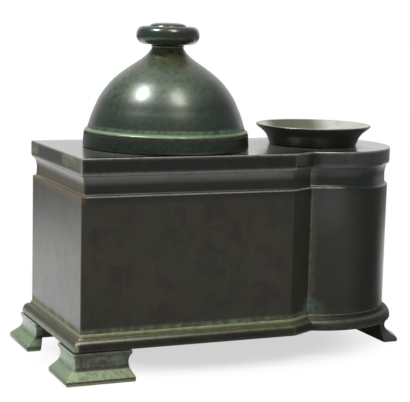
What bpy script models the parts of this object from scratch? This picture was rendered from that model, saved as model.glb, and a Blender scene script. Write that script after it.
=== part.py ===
"""Desk inkstand: a bronze case on bracket feet, with a domed lid over a glass well and a pen cup."""

import math

import bmesh
import bpy

MM = 0.001

# Fits and drafting values shared by every piece
SEAT_GAP = 0.3 * MM
SLIP_FIT = 0.3 * MM
CUT_OVERRUN = 2.0 * MM
WELD_DISTANCE = 0.0001 * MM
SHARP_ANGLE = math.radians(35)

# Case in plan: x runs from the left edge of the slab, y from the middle line
CASE_WIDTH = 68.4 * MM
CASE_STRAIGHT = 90.0 * MM
CHAMFER_ANGLE = math.radians(29.3)
ROUND_END_OFFSET = 25.9 * MM
ROUND_END_RADIUS = 31.9 * MM
ROUND_END_STEPS = 32

# Case in height, from the desk up
FOOT_HEIGHT = 11.7 * MM
MOULDING_HEIGHT = 6.2 * MM
WALL_HEIGHT = 51.7 * MM
COVE_HEIGHT = 9.8 * MM
SLAB_THICKNESS = 6.0 * MM

# Case wall and the hollow neck under the slab
WALL_INSET = 0.6 * MM
WALL_THICKNESS = 3.4 * MM
COVE_DEPTH = 1.9 * MM
COVE_SHARES = (
    (1.00, 0.10),
    (0.93, 0.33),
    (0.83, 0.67),
    (0.67, 0.90),
    (0.50, 1.00),
    (0.33, 0.93),
    (0.20, 0.76),
    (0.07, 0.48),
)

# Base moulding: a bull nose round the wall, with a ledge that the wall stands on
MOULDING_OVERHANG = 3.5 * MM
MOULDING_LEDGE = 2.2 * MM
MOULDING_FILLET_SHARE = 0.12
MOULDING_FACE_SHARE = 0.40
MOULDING_FILLET_DROP_SHARE = 0.05
MOULDING_UNDERCUT_SHARE = 0.94
MOULDING_STEPS = 5

# Feet: cap, scotia and plinth. Shares run from the desk up, outwards of the moulding's edge
FOOT_FLARE = 4.0 * MM
FOOT_END_RETURN = 1.35 * MM
FOOT_LEG = 4.5 * MM
FOOT_LEG_TAPER_SHARE = 0.42
FOOT_WEB = 2.5 * MM
FRONT_FOOT_LENGTH = 20.5 * MM
FRONT_FOOT_RETURN = 16.9 * MM
BACK_FOOT_LENGTH = 20.5 * MM
BACK_FOOT_RETURN = 19.9 * MM
CORNER_FOOT_SHARES = (
    (0.00, 0.92, 0.15),
    (0.03, 1.00, 0.20),
    (0.15, 1.00, 0.20),
    (0.18, 0.95, 0.12),
    (0.23, 0.83, -0.10),
    (0.30, 0.62, -0.45),
    (0.38, 0.38, -0.75),
    (0.46, 0.16, -0.95),
    (0.55, 0.02, -1.00),
    (0.65, -0.07, -0.95),
    (0.77, -0.06, -0.70),
    (0.88, 0.00, -0.15),
    (0.90, 0.09, 0.00),
    (1.00, 0.09, 0.00),
)
ROUND_FOOT_DEPTH = 8.6 * MM
ROUND_FOOT_DEPTH_SHARE = 0.73
ROUND_FOOT_HALF_LENGTH = 16.6 * MM
ROUND_FOOT_STEPS = 12
ROUND_FOOT_SHARES = (
    (0.00, 0.93, 0.15),
    (0.03, 1.00, 0.20),
    (0.10, 1.00, 0.20),
    (0.14, 0.92, 0.10),
    (0.19, 0.75, -0.10),
    (0.28, 0.32, -0.45),
    (0.38, 0.00, -0.80),
    (0.46, -0.23, -1.00),
    (0.55, -0.40, -1.00),
    (0.66, -0.47, -0.95),
    (0.77, -0.42, -0.70),
    (0.88, -0.26, -0.25),
    (0.95, -0.08, 0.00),
    (1.00, 0.03, 0.00),
)

# Screws and the bosses that they bite into
SCREW_RADIUS = 1.5 * MM
SCREW_HOLE_RADIUS = SCREW_RADIUS + SLIP_FIT
SCREW_HEAD_RADIUS = 2.9 * MM
SCREW_HEAD_HEIGHT = 1.6 * MM
SCREW_SLOT_WIDTH = 0.8 * MM
SCREW_SLOT_DEPTH = 0.8 * MM
SCREW_TIP = 0.6 * MM
SCREW_STEPS = 12
SCREW_BITE = 5.0 * MM
BOSS_HEIGHT = 8.5 * MM
BOSS_SIZE = 15.0 * MM
BOSS_BACKING = 1.0 * MM
SCREW_NEAR = 4.6 * MM
SCREW_FAR = 9.4 * MM
BOSS_SCREW_WALL = 1.2 * MM
ROUND_SCREW_SPREAD = 7.0 * MM
MIDDLE_SCREW_MARGIN = 17.0 * MM
SIDE_BOSS_LENGTH = 10.0 * MM
SIDE_BOSS_DEPTH = 8.5 * MM
SIDE_SCREW_DEPTH = 4.5 * MM
TOP_LUG_HEIGHT = 6.0 * MM
TOP_SCREW_BITE = 3.5 * MM
TOP_SCREW_LEFT_MARGIN = 4.6 * MM
TOP_SCREW_RIGHT_MARGIN = 6.0 * MM

# Lid: a bell-shaped dome on a collar, almost as wide as the slab
LID_SIDE_MARGIN = 0.3 * MM
LID_END_MARGIN = 9.0 * MM
LID_HEIGHT = 41.4 * MM
LID_WALL = 2.7 * MM
LID_COLLAR_HEIGHT = 6.6 * MM
LID_COLLAR_TAPER = 0.5 * MM
LID_LEDGE_RISE = 0.4 * MM
LID_CROWN_DEPTH = 10.4 * MM
LID_CROWN_RADIUS = 9.5 * MM
LID_STEPS = 40
DOME_CURVE_STEPS = 2
DOME_SHARES = (
    (0.944, 0.013),
    (0.903, 0.163),
    (0.814, 0.372),
    (0.652, 0.581),
    (0.445, 0.738),
    (0.289, 0.843),
    (0.215, 0.916),
    (0.184, 1.000),
)

# Knob, turned in one piece with the stud that holds it
KNOB_RADIUS = 12.8 * MM
KNOB_HEIGHT = 8.7 * MM
KNOB_STEPS = 28
KNOB_SHARES = (
    (0.74, 0.00),
    (0.91, 0.12),
    (0.99, 0.31),
    (1.00, 0.47),
    (0.97, 0.65),
    (0.90, 0.78),
    (0.80, 0.83),
    (0.67, 0.79),
    (0.62, 0.78),
    (0.57, 0.87),
    (0.48, 0.95),
    (0.28, 0.99),
)
STUD_RADIUS = 2.5 * MM
STUD_END = 1.2 * MM
STUD_STEPS = 16
WASHER_RADIUS = 6.0 * MM
WASHER_THICKNESS = 1.0 * MM
NUT_ACROSS_CORNERS = 9.4 * MM
NUT_HEIGHT = 4.0 * MM
NUT_SIDES = 6

# Glass well, hanging by its flange in the slab's left hole, inside the lid's locating ring
GLASS_FLANGE_CLEARANCE = 0.7 * MM
GLASS_FLANGE_WIDTH = 4.5 * MM
GLASS_FLANGE_THICKNESS = 4.0 * MM
GLASS_DEPTH = 40.0 * MM
GLASS_TAPER = 2.2 * MM
GLASS_FLOOR = 4.0 * MM
GLASS_LIP = 5.1 * MM
GLASS_WALL = 4.9 * MM
GLASS_ROUNDING = 1.2 * MM
GLASS_CORNER = 3.0 * MM
GLASS_STEPS = LID_STEPS
GLASS_HOLE_SLIP = 0.7 * MM
SEAT_WASHER_THICKNESS = 1.0 * MM
SEAT_WASHER_MARGIN = 0.4 * MM
LOCATING_RING_HEIGHT = 3.0 * MM
LOCATING_RING_WALL = 1.1 * MM

# Flared pen cup with a neck through the slab's right hole
CUP_OFFSET = 1.3 * MM
CUP_MARGIN = 7.5 * MM
CUP_HEIGHT = 8.7 * MM
CUP_STEPS = 36
CUP_OUTER_SHARES = (
    (0.762, 0.03),
    (0.770, 0.11),
    (0.783, 0.21),
    (0.803, 0.36),
    (0.838, 0.52),
    (0.892, 0.67),
    (0.965, 0.83),
    (0.997, 0.93),
    (1.000, 0.97),
    (0.988, 1.00),
)
CUP_INNER_SHARES = ((0.962, 0.99), (0.925, 0.91), (0.845, 0.73), (0.765, 0.52), (0.690, 0.28), (0.630, 0.03))
CUP_THROAT_SHARE = 0.575
CUP_THROAT_DROP_SHARE = 0.35
NECK_SHOULDER = 2.6 * MM
NECK_WALL = 2.5 * MM
NECK_SOCKET = 5.0 * MM
RING_NUT_WALL = 3.7 * MM
RING_NUT_HEIGHT = 4.0 * MM
TUBE_WALL = 0.9 * MM
TUBE_STEPS = CUP_STEPS
CORK_THICKNESS = 2.5 * MM

# Heights and edges that several pieces share
SLAB_TOP = FOOT_HEIGHT + MOULDING_HEIGHT + WALL_HEIGHT + COVE_HEIGHT + SLAB_THICKNESS
SLAB_BOTTOM = SLAB_TOP - SLAB_THICKNESS
WALL_TOP = SLAB_BOTTOM - SEAT_GAP
WALL_BOTTOM = FOOT_HEIGHT + MOULDING_LEDGE + SEAT_GAP
PLATE_TOP = FOOT_HEIGHT + MOULDING_LEDGE
INNER_INSET = WALL_INSET + WALL_THICKNESS
EDGE_INSET = WALL_INSET - MOULDING_OVERHANG
FOOT_TOP = FOOT_HEIGHT - SEAT_GAP
WEB_BOTTOM = FOOT_TOP - FOOT_WEB
BOSS_BOTTOM = WALL_BOTTOM
LUG_BOTTOM = WALL_TOP - TOP_LUG_HEIGHT

# Places and radii that follow the case
ROUND_END_X = CASE_STRAIGHT + ROUND_END_OFFSET
ROUND_END_INNER_X = ROUND_END_X + ROUND_END_RADIUS - INNER_INSET
ROUND_FOOT_INNER_X = ROUND_END_X + ROUND_END_RADIUS - EDGE_INSET - ROUND_FOOT_DEPTH
ROUND_SCREW_X = ROUND_FOOT_INNER_X - SLIP_FIT - SCREW_HEAD_RADIUS
ROUND_BOSS_LEFT = ROUND_SCREW_X - SCREW_HOLE_RADIUS - BOSS_SCREW_WALL
ROUND_BOSS_HALF_WIDTH = ROUND_SCREW_SPREAD + SCREW_HOLE_RADIUS + BOSS_SCREW_WALL
CASE_LEFT_END = EDGE_INSET - FOOT_FLARE
CASE_RIGHT_END = ROUND_END_X + ROUND_END_RADIUS - EDGE_INSET + FOOT_FLARE
CASE_CENTRE_X = (CASE_LEFT_END + CASE_RIGHT_END) / 2
LID_RADIUS = CASE_WIDTH / 2 - LID_SIDE_MARGIN
LID_X = CASE_STRAIGHT - LID_END_MARGIN - LID_RADIUS
LID_INNER_RADIUS = LID_RADIUS - LID_WALL
RING_RADIUS = LID_INNER_RADIUS - SLIP_FIT
RING_INNER_RADIUS = RING_RADIUS - LOCATING_RING_WALL
GLASS_FLANGE_RADIUS = RING_INNER_RADIUS - GLASS_FLANGE_CLEARANCE
GLASS_RADIUS = GLASS_FLANGE_RADIUS - GLASS_FLANGE_WIDTH
GLASS_FOOT_RADIUS = GLASS_RADIUS - GLASS_TAPER
GLASS_FLANGE_BOTTOM = SEAT_GAP + SEAT_WASHER_THICKNESS + SEAT_GAP
CUP_X = ROUND_END_X - CUP_OFFSET
CUP_RADIUS = ROUND_END_RADIUS - CUP_MARGIN
NECK_RADIUS = CUP_RADIUS * CUP_OUTER_SHARES[0][0] - NECK_SHOULDER
NECK_BORE_RADIUS = NECK_RADIUS - NECK_WALL
NECK_HOLE_RADIUS = NECK_RADIUS + SLIP_FIT
TUBE_RADIUS = NECK_HOLE_RADIUS + TUBE_WALL
TUBE_TOP = SLAB_BOTTOM - SEAT_GAP - RING_NUT_HEIGHT - SEAT_GAP
TUBE_BOTTOM = PLATE_TOP + SEAT_GAP


def clear_scene():
    for old in list(bpy.data.objects):
        bpy.data.objects.remove(old, do_unlink=True)


def finish_material(name, colour, roughness, metallic, transmission=0.0):
    material = bpy.data.materials.new(name)
    material.use_nodes = True
    shader = material.node_tree.nodes["Principled BSDF"]
    shader.inputs["Base Color"].default_value = (*colour, 1.0)
    shader.inputs["Roughness"].default_value = roughness
    shader.inputs["Metallic"].default_value = metallic
    shader.inputs["Transmission Weight"].default_value = transmission
    material.diffuse_color = (*colour, 1.0)
    return material


def patinated_bronze():
    return finish_material("patinated_bronze", (0.045, 0.045, 0.036), 0.35, 0.6)


def green_bronze():
    return finish_material("green_bronze", (0.040, 0.060, 0.040), 0.40, 0.5)


def aged_brass():
    return finish_material("aged_brass", (0.35, 0.25, 0.10), 0.40, 1.0)


def screw_steel():
    return finish_material("screw_steel", (0.30, 0.29, 0.27), 0.45, 1.0)


def clear_glass():
    return finish_material("clear_glass", (0.90, 0.95, 0.93), 0.05, 0.0, transmission=1.0)


def seat_leather():
    return finish_material("seat_leather", (0.12, 0.06, 0.03), 0.80, 0.0)


def well_cork():
    return finish_material("well_cork", (0.40, 0.24, 0.12), 0.90, 0.0)


def link_object(name, mesh, material, location=(0.0, 0.0, 0.0)):
    obj = bpy.data.objects.new(name, mesh)
    if not mesh.materials:
        mesh.materials.append(material)
    bpy.context.scene.collection.objects.link(obj)
    obj.parent = bpy.data.objects["inkstand_frame"]
    obj.location = location
    return obj


def mesh_from(name, bm):
    bmesh.ops.remove_doubles(bm, verts=bm.verts, dist=WELD_DISTANCE)
    bmesh.ops.recalc_face_normals(bm, faces=bm.faces)
    mesh = bpy.data.meshes.new(name)
    bm.to_mesh(mesh)
    bm.free()
    mesh.shade_smooth()
    mesh.set_sharp_from_angle(angle=SHARP_ANGLE)
    return mesh


def sections_mesh(name, sections, closed=False):
    """Mesh through a stack of point rings, capped at both ends, or joined end to end when closed."""
    bm = bmesh.new()
    rings = [[bm.verts.new(point) for point in section] for section in sections]
    pairs = list(zip(rings, rings[1:]))
    if closed:
        pairs.append((rings[-1], rings[0]))
    for low, high in pairs:
        count = len(low)
        for i in range(count):
            j = (i + 1) % count
            bm.faces.new((low[i], low[j], high[j], high[i]))
    if not closed:
        bm.faces.new(rings[0])
        bm.faces.new(rings[-1])
    return mesh_from(name, bm)


def turned_mesh(name, outline, steps, closed=False):
    """Mesh spun from an outline of (radius, height) points; an open outline starts and ends on the axis."""
    bm = bmesh.new()
    points = [bm.verts.new((radius, 0.0, height)) for radius, height in outline]
    edges = [bm.edges.new(pair) for pair in zip(points, points[1:])]
    if closed:
        edges.append(bm.edges.new((points[-1], points[0])))
    bmesh.ops.spin(
        bm,
        geom=points + edges,
        cent=(0.0, 0.0, 0.0),
        axis=(0.0, 0.0, 1.0),
        angle=2 * math.pi,
        steps=steps,
        use_merge=True,
    )
    return mesh_from(name, bm)


def boxes_mesh(name, boxes):
    bm = bmesh.new()
    for low, high in boxes:
        corners = bmesh.ops.create_cube(bm, size=1.0)["verts"]
        for corner in corners:
            corner.co = [(a + b) / 2 + (b - a) * side for a, b, side in zip(low, high, corner.co)]
    return mesh_from(name, bm)


def pegs_mesh(name, pegs, radius, steps):
    """Upright cylinders, each from (x, y, bottom, top)."""
    bm = bmesh.new()
    for x, y, bottom, top in pegs:
        made = bmesh.ops.create_cone(
            bm, cap_ends=True, segments=steps, radius1=radius, radius2=radius, depth=top - bottom
        )
        bmesh.ops.translate(bm, verts=made["verts"], vec=(x, y, (bottom + top) / 2))
    return mesh_from(name, bm)


def screw_holes_mesh(name, *groups):
    """Cutters for clearance holes: each group is a run of (x, y) places with their bottom and top."""
    pegs = [(x, y, bottom, top) for places, bottom, top in groups for x, y in places]
    return pegs_mesh(name, pegs, SCREW_HOLE_RADIUS, SCREW_STEPS)


def add_boolean(obj, name, mesh, operation):
    helper = link_object(name, mesh, obj.data.materials[0])
    helper.hide_render = True
    helper.display_type = "WIRE"
    modifier = obj.modifiers.new(name, "BOOLEAN")
    modifier.operation = operation
    modifier.solver = "EXACT"
    modifier.object = helper


def curve_through(points, steps):
    """A smooth run through the points, by Catmull-Rom pieces."""
    run = []
    last = len(points) - 1
    for i in range(last):
        before = points[max(i - 1, 0)]
        start = points[i]
        end = points[i + 1]
        after = points[min(i + 2, last)]
        for k in range(steps):
            t = k / steps
            run.append(tuple(catmull_rom(t, *four) for four in zip(before, start, end, after)))
    run.append(points[-1])
    return run


def catmull_rom(t, before, start, end, after):
    slope = end - before
    bend = 2 * before - 5 * start + 4 * end - after
    twist = 3 * start - before - 3 * end + after
    return start + 0.5 * t * (slope + t * (bend + t * twist))


def offset_inwards(points, distance):
    """An outline that climbs towards the axis, moved towards the inside by the distance."""
    moved = []
    for i in range(1, len(points) - 1):
        run = points[i + 1][0] - points[i - 1][0]
        rise = points[i + 1][1] - points[i - 1][1]
        length = math.hypot(run, rise)
        moved.append((points[i][0] - distance * rise / length, points[i][1] + distance * run / length))
    return moved


def case_outline(inset, height):
    """Plan of the case, moved inwards from the slab's edge, as a ring of points at one height."""
    half = CASE_WIDTH / 2 - inset
    radius = ROUND_END_RADIUS - inset
    along, across = math.cos(CHAMFER_ANGLE), math.sin(CHAMFER_ANGLE)
    start_x = CASE_STRAIGHT - inset * across
    start_y = -CASE_WIDTH / 2 + inset * along
    to_side = (-half - start_y) / across
    corner = (start_x + to_side * along, -half)
    from_centre = start_x - ROUND_END_X
    middle = from_centre * along + start_y * across
    reach = math.sqrt(middle**2 - from_centre**2 - start_y**2 + radius**2)
    to_notch = -middle - reach
    notch_x = start_x + to_notch * along
    notch_y = start_y + to_notch * across
    notch_angle = math.atan2(notch_y, notch_x - ROUND_END_X)
    ring = [(inset, -half, height), (*corner, height)]
    for i in range(ROUND_END_STEPS + 1):
        angle = notch_angle * (1 - 2 * i / ROUND_END_STEPS)
        ring.append((ROUND_END_X + radius * math.cos(angle), radius * math.sin(angle), height))
    ring.append((corner[0], half, height))
    ring.append((inset, half, height))
    return ring


def band_mesh(name, profile):
    """A closed band round the case from a profile of (inset, height) points."""
    return sections_mesh(name, [case_outline(inset, height) for inset, height in profile], closed=True)


def corner_screw_places(side):
    """The two foot screws of a left corner; side is -1 at the front and 1 at the back."""
    inner_x = INNER_INSET
    inner_y = CASE_WIDTH / 2 - INNER_INSET
    return (
        (inner_x + SCREW_NEAR, side * (inner_y - SCREW_FAR)),
        (inner_x + SCREW_FAR, side * (inner_y - SCREW_NEAR)),
    )


def round_screw_places():
    return ((ROUND_SCREW_X, -ROUND_SCREW_SPREAD), (ROUND_SCREW_X, ROUND_SCREW_SPREAD))


def middle_screw_places():
    x = CASE_STRAIGHT - MIDDLE_SCREW_MARGIN
    y = CASE_WIDTH / 2 - INNER_INSET - SIDE_SCREW_DEPTH
    return ((x, -y), (x, y))


def top_screw_places():
    y = CASE_WIDTH / 2 - INNER_INSET - SIDE_SCREW_DEPTH
    left = INNER_INSET + TOP_SCREW_LEFT_MARGIN
    right = CASE_STRAIGHT - TOP_SCREW_RIGHT_MARGIN
    return tuple((x, side * y) for x in (left, right) for side in (-1, 1))


def bottom_screw_places():
    return (
        *corner_screw_places(-1),
        *corner_screw_places(1),
        *round_screw_places(),
        *middle_screw_places(),
    )


def corner_boss(side):
    """Block in a left corner of the wall that takes the two screws of its foot."""
    inner_y = CASE_WIDTH / 2 - INNER_INSET
    ends = sorted((side * (inner_y + BOSS_BACKING), side * (inner_y - BOSS_SIZE)))
    low = (INNER_INSET - BOSS_BACKING, ends[0], BOSS_BOTTOM)
    return (low, (INNER_INSET + BOSS_SIZE, ends[1], BOSS_BOTTOM + BOSS_HEIGHT))


def round_end_boss():
    low = (ROUND_BOSS_LEFT, -ROUND_BOSS_HALF_WIDTH, BOSS_BOTTOM)
    right = ROUND_END_INNER_X + BOSS_BACKING
    return (low, (right, ROUND_BOSS_HALF_WIDTH, BOSS_BOTTOM + BOSS_HEIGHT))


def side_boss(x, y, bottom, top):
    """Block on a long side of the wall, round a screw at (x, y)."""
    side = math.copysign(1, y)
    inner_y = CASE_WIDTH / 2 - INNER_INSET
    ends = sorted((side * (inner_y + BOSS_BACKING), side * (inner_y - SIDE_BOSS_DEPTH)))
    return ((x - SIDE_BOSS_LENGTH / 2, ends[0], bottom), (x + SIDE_BOSS_LENGTH / 2, ends[1], top))


def wall_bosses():
    """Blocks inside the wall that the screws of the feet, the base plate and the slab hold in."""
    boxes = [corner_boss(-1), corner_boss(1), round_end_boss()]
    boxes += [side_boss(x, y, BOSS_BOTTOM, BOSS_BOTTOM + BOSS_HEIGHT) for x, y in middle_screw_places()]
    boxes += [side_boss(x, y, LUG_BOTTOM, WALL_TOP) for x, y in top_screw_places()]
    return boxes


def make_body_wall(material):
    top = SLAB_BOTTOM - SEAT_GAP
    profile = [(INNER_INSET, WALL_TOP)]
    for height, depth in COVE_SHARES:
        profile.append((COVE_DEPTH * depth, top - COVE_HEIGHT * (1 - height)))
    profile.append((WALL_INSET, top - COVE_HEIGHT))
    profile.append((WALL_INSET, WALL_BOTTOM))
    profile.append((INNER_INSET, WALL_BOTTOM))
    wall = link_object("body_wall", band_mesh("body_wall", profile), material)
    add_boolean(wall, "wall_boss_blocks", boxes_mesh("wall_boss_blocks", wall_bosses()), "UNION")
    holes = screw_holes_mesh(
        "wall_screw_holes",
        (bottom_screw_places(), BOSS_BOTTOM - CUT_OVERRUN, BOSS_BOTTOM + SCREW_BITE + SLIP_FIT),
        (top_screw_places(), LUG_BOTTOM - CUT_OVERRUN, WALL_TOP + CUT_OVERRUN),
    )
    add_boolean(wall, "wall_screw_holes", holes, "DIFFERENCE")
    return wall


def make_top_plate(material):
    sections = [case_outline(0.0, SLAB_BOTTOM), case_outline(0.0, SLAB_TOP)]
    slab = link_object("top_plate", sections_mesh("top_plate", sections), material)
    low = SLAB_BOTTOM - CUT_OVERRUN
    high = SLAB_TOP + CUT_OVERRUN
    glass_hole_radius = GLASS_RADIUS + GLASS_HOLE_SLIP
    glass_hole = pegs_mesh("glass_hole", [(LID_X, 0.0, low, high)], glass_hole_radius, GLASS_STEPS)
    add_boolean(slab, "glass_hole", glass_hole, "DIFFERENCE")
    neck_hole = pegs_mesh("neck_hole", [(CUP_X, 0.0, low, high)], NECK_HOLE_RADIUS, CUP_STEPS)
    add_boolean(slab, "neck_hole", neck_hole, "DIFFERENCE")
    screw_top = SLAB_BOTTOM + TOP_SCREW_BITE + SLIP_FIT
    holes = screw_holes_mesh("slab_screw_holes", (top_screw_places(), low, screw_top))
    add_boolean(slab, "slab_screw_holes", holes, "DIFFERENCE")
    return slab


def make_base_moulding(material):
    inside = WALL_INSET - SEAT_GAP
    top = FOOT_HEIGHT + MOULDING_HEIGHT
    fillet = MOULDING_OVERHANG * MOULDING_FILLET_SHARE
    profile = [(inside, top), (inside - fillet, top)]
    bow_out = MOULDING_OVERHANG - fillet - SEAT_GAP
    bow_rise = MOULDING_HEIGHT * (1 - MOULDING_FACE_SHARE - MOULDING_FILLET_DROP_SHARE)
    face_top = FOOT_HEIGHT + MOULDING_HEIGHT * MOULDING_FACE_SHARE
    for i in range(MOULDING_STEPS + 1):
        angle = math.pi / 2 * i / MOULDING_STEPS
        profile.append((inside - fillet - bow_out * math.sin(angle), face_top + bow_rise * math.cos(angle)))
    profile.append((WALL_INSET - MOULDING_OVERHANG * MOULDING_UNDERCUT_SHARE, FOOT_HEIGHT))
    profile.append((INNER_INSET, FOOT_HEIGHT))
    profile.append((INNER_INSET, FOOT_HEIGHT + MOULDING_LEDGE))
    profile.append((inside, FOOT_HEIGHT + MOULDING_LEDGE))
    return link_object("base_moulding", band_mesh("base_moulding", profile), material)


def make_base_plate(material):
    inset = INNER_INSET + SEAT_GAP
    sections = [case_outline(inset, FOOT_HEIGHT), case_outline(inset, PLATE_TOP)]
    plate = link_object("base_plate", sections_mesh("base_plate", sections), material)
    low = FOOT_HEIGHT - CUT_OVERRUN
    high = PLATE_TOP + CUT_OVERRUN
    holes = screw_holes_mesh("plate_screw_holes", (bottom_screw_places(), low, high))
    add_boolean(plate, "plate_screw_holes", holes, "DIFFERENCE")
    return plate


def corner_foot_section(height_share, flare_share, end_share, side, length, back_length):
    """L-shaped plan of a left foot at one height; the leg thins towards the desk."""
    flare = FOOT_FLARE * flare_share
    end = FOOT_END_RETURN * end_share
    leg = FOOT_LEG * (FOOT_LEG_TAPER_SHARE + (1 - FOOT_LEG_TAPER_SHARE) * height_share)
    outer_x = EDGE_INSET - flare
    outer_y = CASE_WIDTH / 2 - EDGE_INSET + flare
    inner_x = EDGE_INSET + leg
    inner_y = CASE_WIDTH / 2 - EDGE_INSET - leg
    end_x = length + end
    end_y = CASE_WIDTH / 2 - back_length - end
    height = FOOT_TOP * height_share
    plan = (
        (outer_x, outer_y),
        (end_x, outer_y),
        (end_x, inner_y),
        (inner_x, inner_y),
        (inner_x, end_y),
        (outer_x, end_y),
    )
    return [(x, side * y, height) for x, y in plan]


def make_corner_foot(name, side, length, back_length, material):
    sections = [corner_foot_section(*shares, side, length, back_length) for shares in CORNER_FOOT_SHARES]
    foot = link_object(name, sections_mesh(name, sections), material)
    screws = corner_screw_places(side)
    margin = SCREW_HEAD_RADIUS + SLIP_FIT
    (inner_x, inner_y), (outer_x, outer_y) = [(x, abs(y)) for x, y in screws]
    near_x = EDGE_INSET + FOOT_LEG / 2
    near_y = CASE_WIDTH / 2 - EDGE_INSET - FOOT_LEG / 2
    plan = (
        (near_x, near_y),
        (outer_x + margin, near_y),
        (outer_x + margin, outer_y - margin),
        (inner_x + margin, inner_y - margin),
        (near_x, inner_y - margin),
    )
    web = [[(x, side * y, height) for x, y in plan] for height in (WEB_BOTTOM, FOOT_TOP)]
    add_boolean(foot, name + "_web", sections_mesh(name + "_web", web), "UNION")
    holes = screw_holes_mesh(name + "_holes", (screws, WEB_BOTTOM - CUT_OVERRUN, FOOT_TOP + CUT_OVERRUN))
    add_boolean(foot, name + "_holes", holes, "DIFFERENCE")
    return foot


def round_foot_section(height_share, flare_share, end_share):
    radius = ROUND_END_RADIUS - EDGE_INSET + FOOT_FLARE * flare_share
    half = ROUND_FOOT_HALF_LENGTH + FOOT_END_RETURN * end_share
    depth = ROUND_FOOT_DEPTH * (ROUND_FOOT_DEPTH_SHARE + (1 - ROUND_FOOT_DEPTH_SHARE) * height_share)
    inner_x = ROUND_END_X + ROUND_END_RADIUS - EDGE_INSET - depth
    height = FOOT_TOP * height_share
    half_angle = math.asin(half / radius)
    section = [(inner_x, half, height), (inner_x, -half, height)]
    for i in range(ROUND_FOOT_STEPS + 1):
        angle = half_angle * (2 * i / ROUND_FOOT_STEPS - 1)
        section.append((ROUND_END_X + radius * math.cos(angle), radius * math.sin(angle), height))
    return section


def make_round_foot(material):
    sections = [round_foot_section(*shares) for shares in ROUND_FOOT_SHARES]
    foot = link_object("foot_round_end", sections_mesh("foot_round_end", sections), material)
    right = ROUND_END_X + ROUND_END_RADIUS - EDGE_INSET - ROUND_FOOT_DEPTH / 2
    low = (ROUND_BOSS_LEFT, -ROUND_BOSS_HALF_WIDTH, WEB_BOTTOM)
    box = (low, (right, ROUND_BOSS_HALF_WIDTH, FOOT_TOP))
    add_boolean(foot, "foot_round_web", boxes_mesh("foot_round_web", [box]), "UNION")
    high = FOOT_TOP + CUT_OVERRUN
    holes = screw_holes_mesh("foot_round_holes", (round_screw_places(), WEB_BOTTOM - CUT_OVERRUN, high))
    add_boolean(foot, "foot_round_holes", holes, "DIFFERENCE")
    return foot


def screw_mesh(name, length):
    """Slotted cheese-head screw standing on its head, with the shank upwards."""
    outline = (
        (0.0, 0.0),
        (SCREW_HEAD_RADIUS, 0.0),
        (SCREW_HEAD_RADIUS, SCREW_HEAD_HEIGHT),
        (SCREW_RADIUS, SCREW_HEAD_HEIGHT),
        (SCREW_RADIUS, SCREW_HEAD_HEIGHT + length - SCREW_TIP),
        (SCREW_RADIUS - SCREW_TIP, SCREW_HEAD_HEIGHT + length),
        (0.0, SCREW_HEAD_HEIGHT + length),
    )
    blank = bpy.data.objects.new(name + "_blank", turned_mesh(name + "_blank", outline, SCREW_STEPS))
    reach = SCREW_HEAD_RADIUS + CUT_OVERRUN
    half = SCREW_SLOT_WIDTH / 2
    box = ((-reach, -half, -CUT_OVERRUN), (reach, half, SCREW_SLOT_DEPTH))
    slot = bpy.data.objects.new(name + "_slot", boxes_mesh(name + "_slot", [box]))
    for helper in (blank, slot):
        bpy.context.scene.collection.objects.link(helper)
    modifier = blank.modifiers.new("slot", "BOOLEAN")
    modifier.operation = "DIFFERENCE"
    modifier.solver = "EXACT"
    modifier.object = slot
    graph = bpy.context.evaluated_depsgraph_get()
    mesh = bpy.data.meshes.new_from_object(blank.evaluated_get(graph))
    mesh.name = name
    for helper in (blank, slot):
        bpy.data.objects.remove(helper, do_unlink=True)
    return mesh


def make_foot_screws(material):
    head = WEB_BOTTOM - SEAT_GAP - SCREW_HEAD_HEIGHT
    mesh = screw_mesh("foot_screw", BOSS_BOTTOM + SCREW_BITE - WEB_BOTTOM + SEAT_GAP)
    places = {
        "foot_screw_front_left": corner_screw_places(-1),
        "foot_screw_back_left": corner_screw_places(1),
        "foot_screw_round_end": round_screw_places(),
    }
    for name, pair in places.items():
        for suffix, (x, y) in zip(("_1", "_2"), pair):
            link_object(name + suffix, mesh, material, (x, y, head))


def make_base_plate_screws(material):
    head = FOOT_HEIGHT - SEAT_GAP - SCREW_HEAD_HEIGHT
    mesh = screw_mesh("base_plate_screw", BOSS_BOTTOM + SCREW_BITE - FOOT_HEIGHT + SEAT_GAP)
    for suffix, (x, y) in zip(("_front", "_back"), middle_screw_places()):
        link_object("base_plate_screw" + suffix, mesh, material, (x, y, head))


def make_top_plate_screws(material):
    head = LUG_BOTTOM - SEAT_GAP - SCREW_HEAD_HEIGHT
    mesh = screw_mesh("top_plate_screw", SLAB_BOTTOM + TOP_SCREW_BITE - LUG_BOTTOM + SEAT_GAP)
    names = ("_front_left", "_back_left", "_front_right", "_back_right")
    for suffix, (x, y) in zip(names, top_screw_places()):
        link_object("top_plate_screw" + suffix, mesh, material, (x, y, head))


def dome_curve():
    foot = LID_COLLAR_HEIGHT + LID_LEDGE_RISE
    points = [(LID_RADIUS * radius, foot + (LID_HEIGHT - foot) * height) for radius, height in DOME_SHARES]
    return curve_through(points, DOME_CURVE_STEPS)


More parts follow.
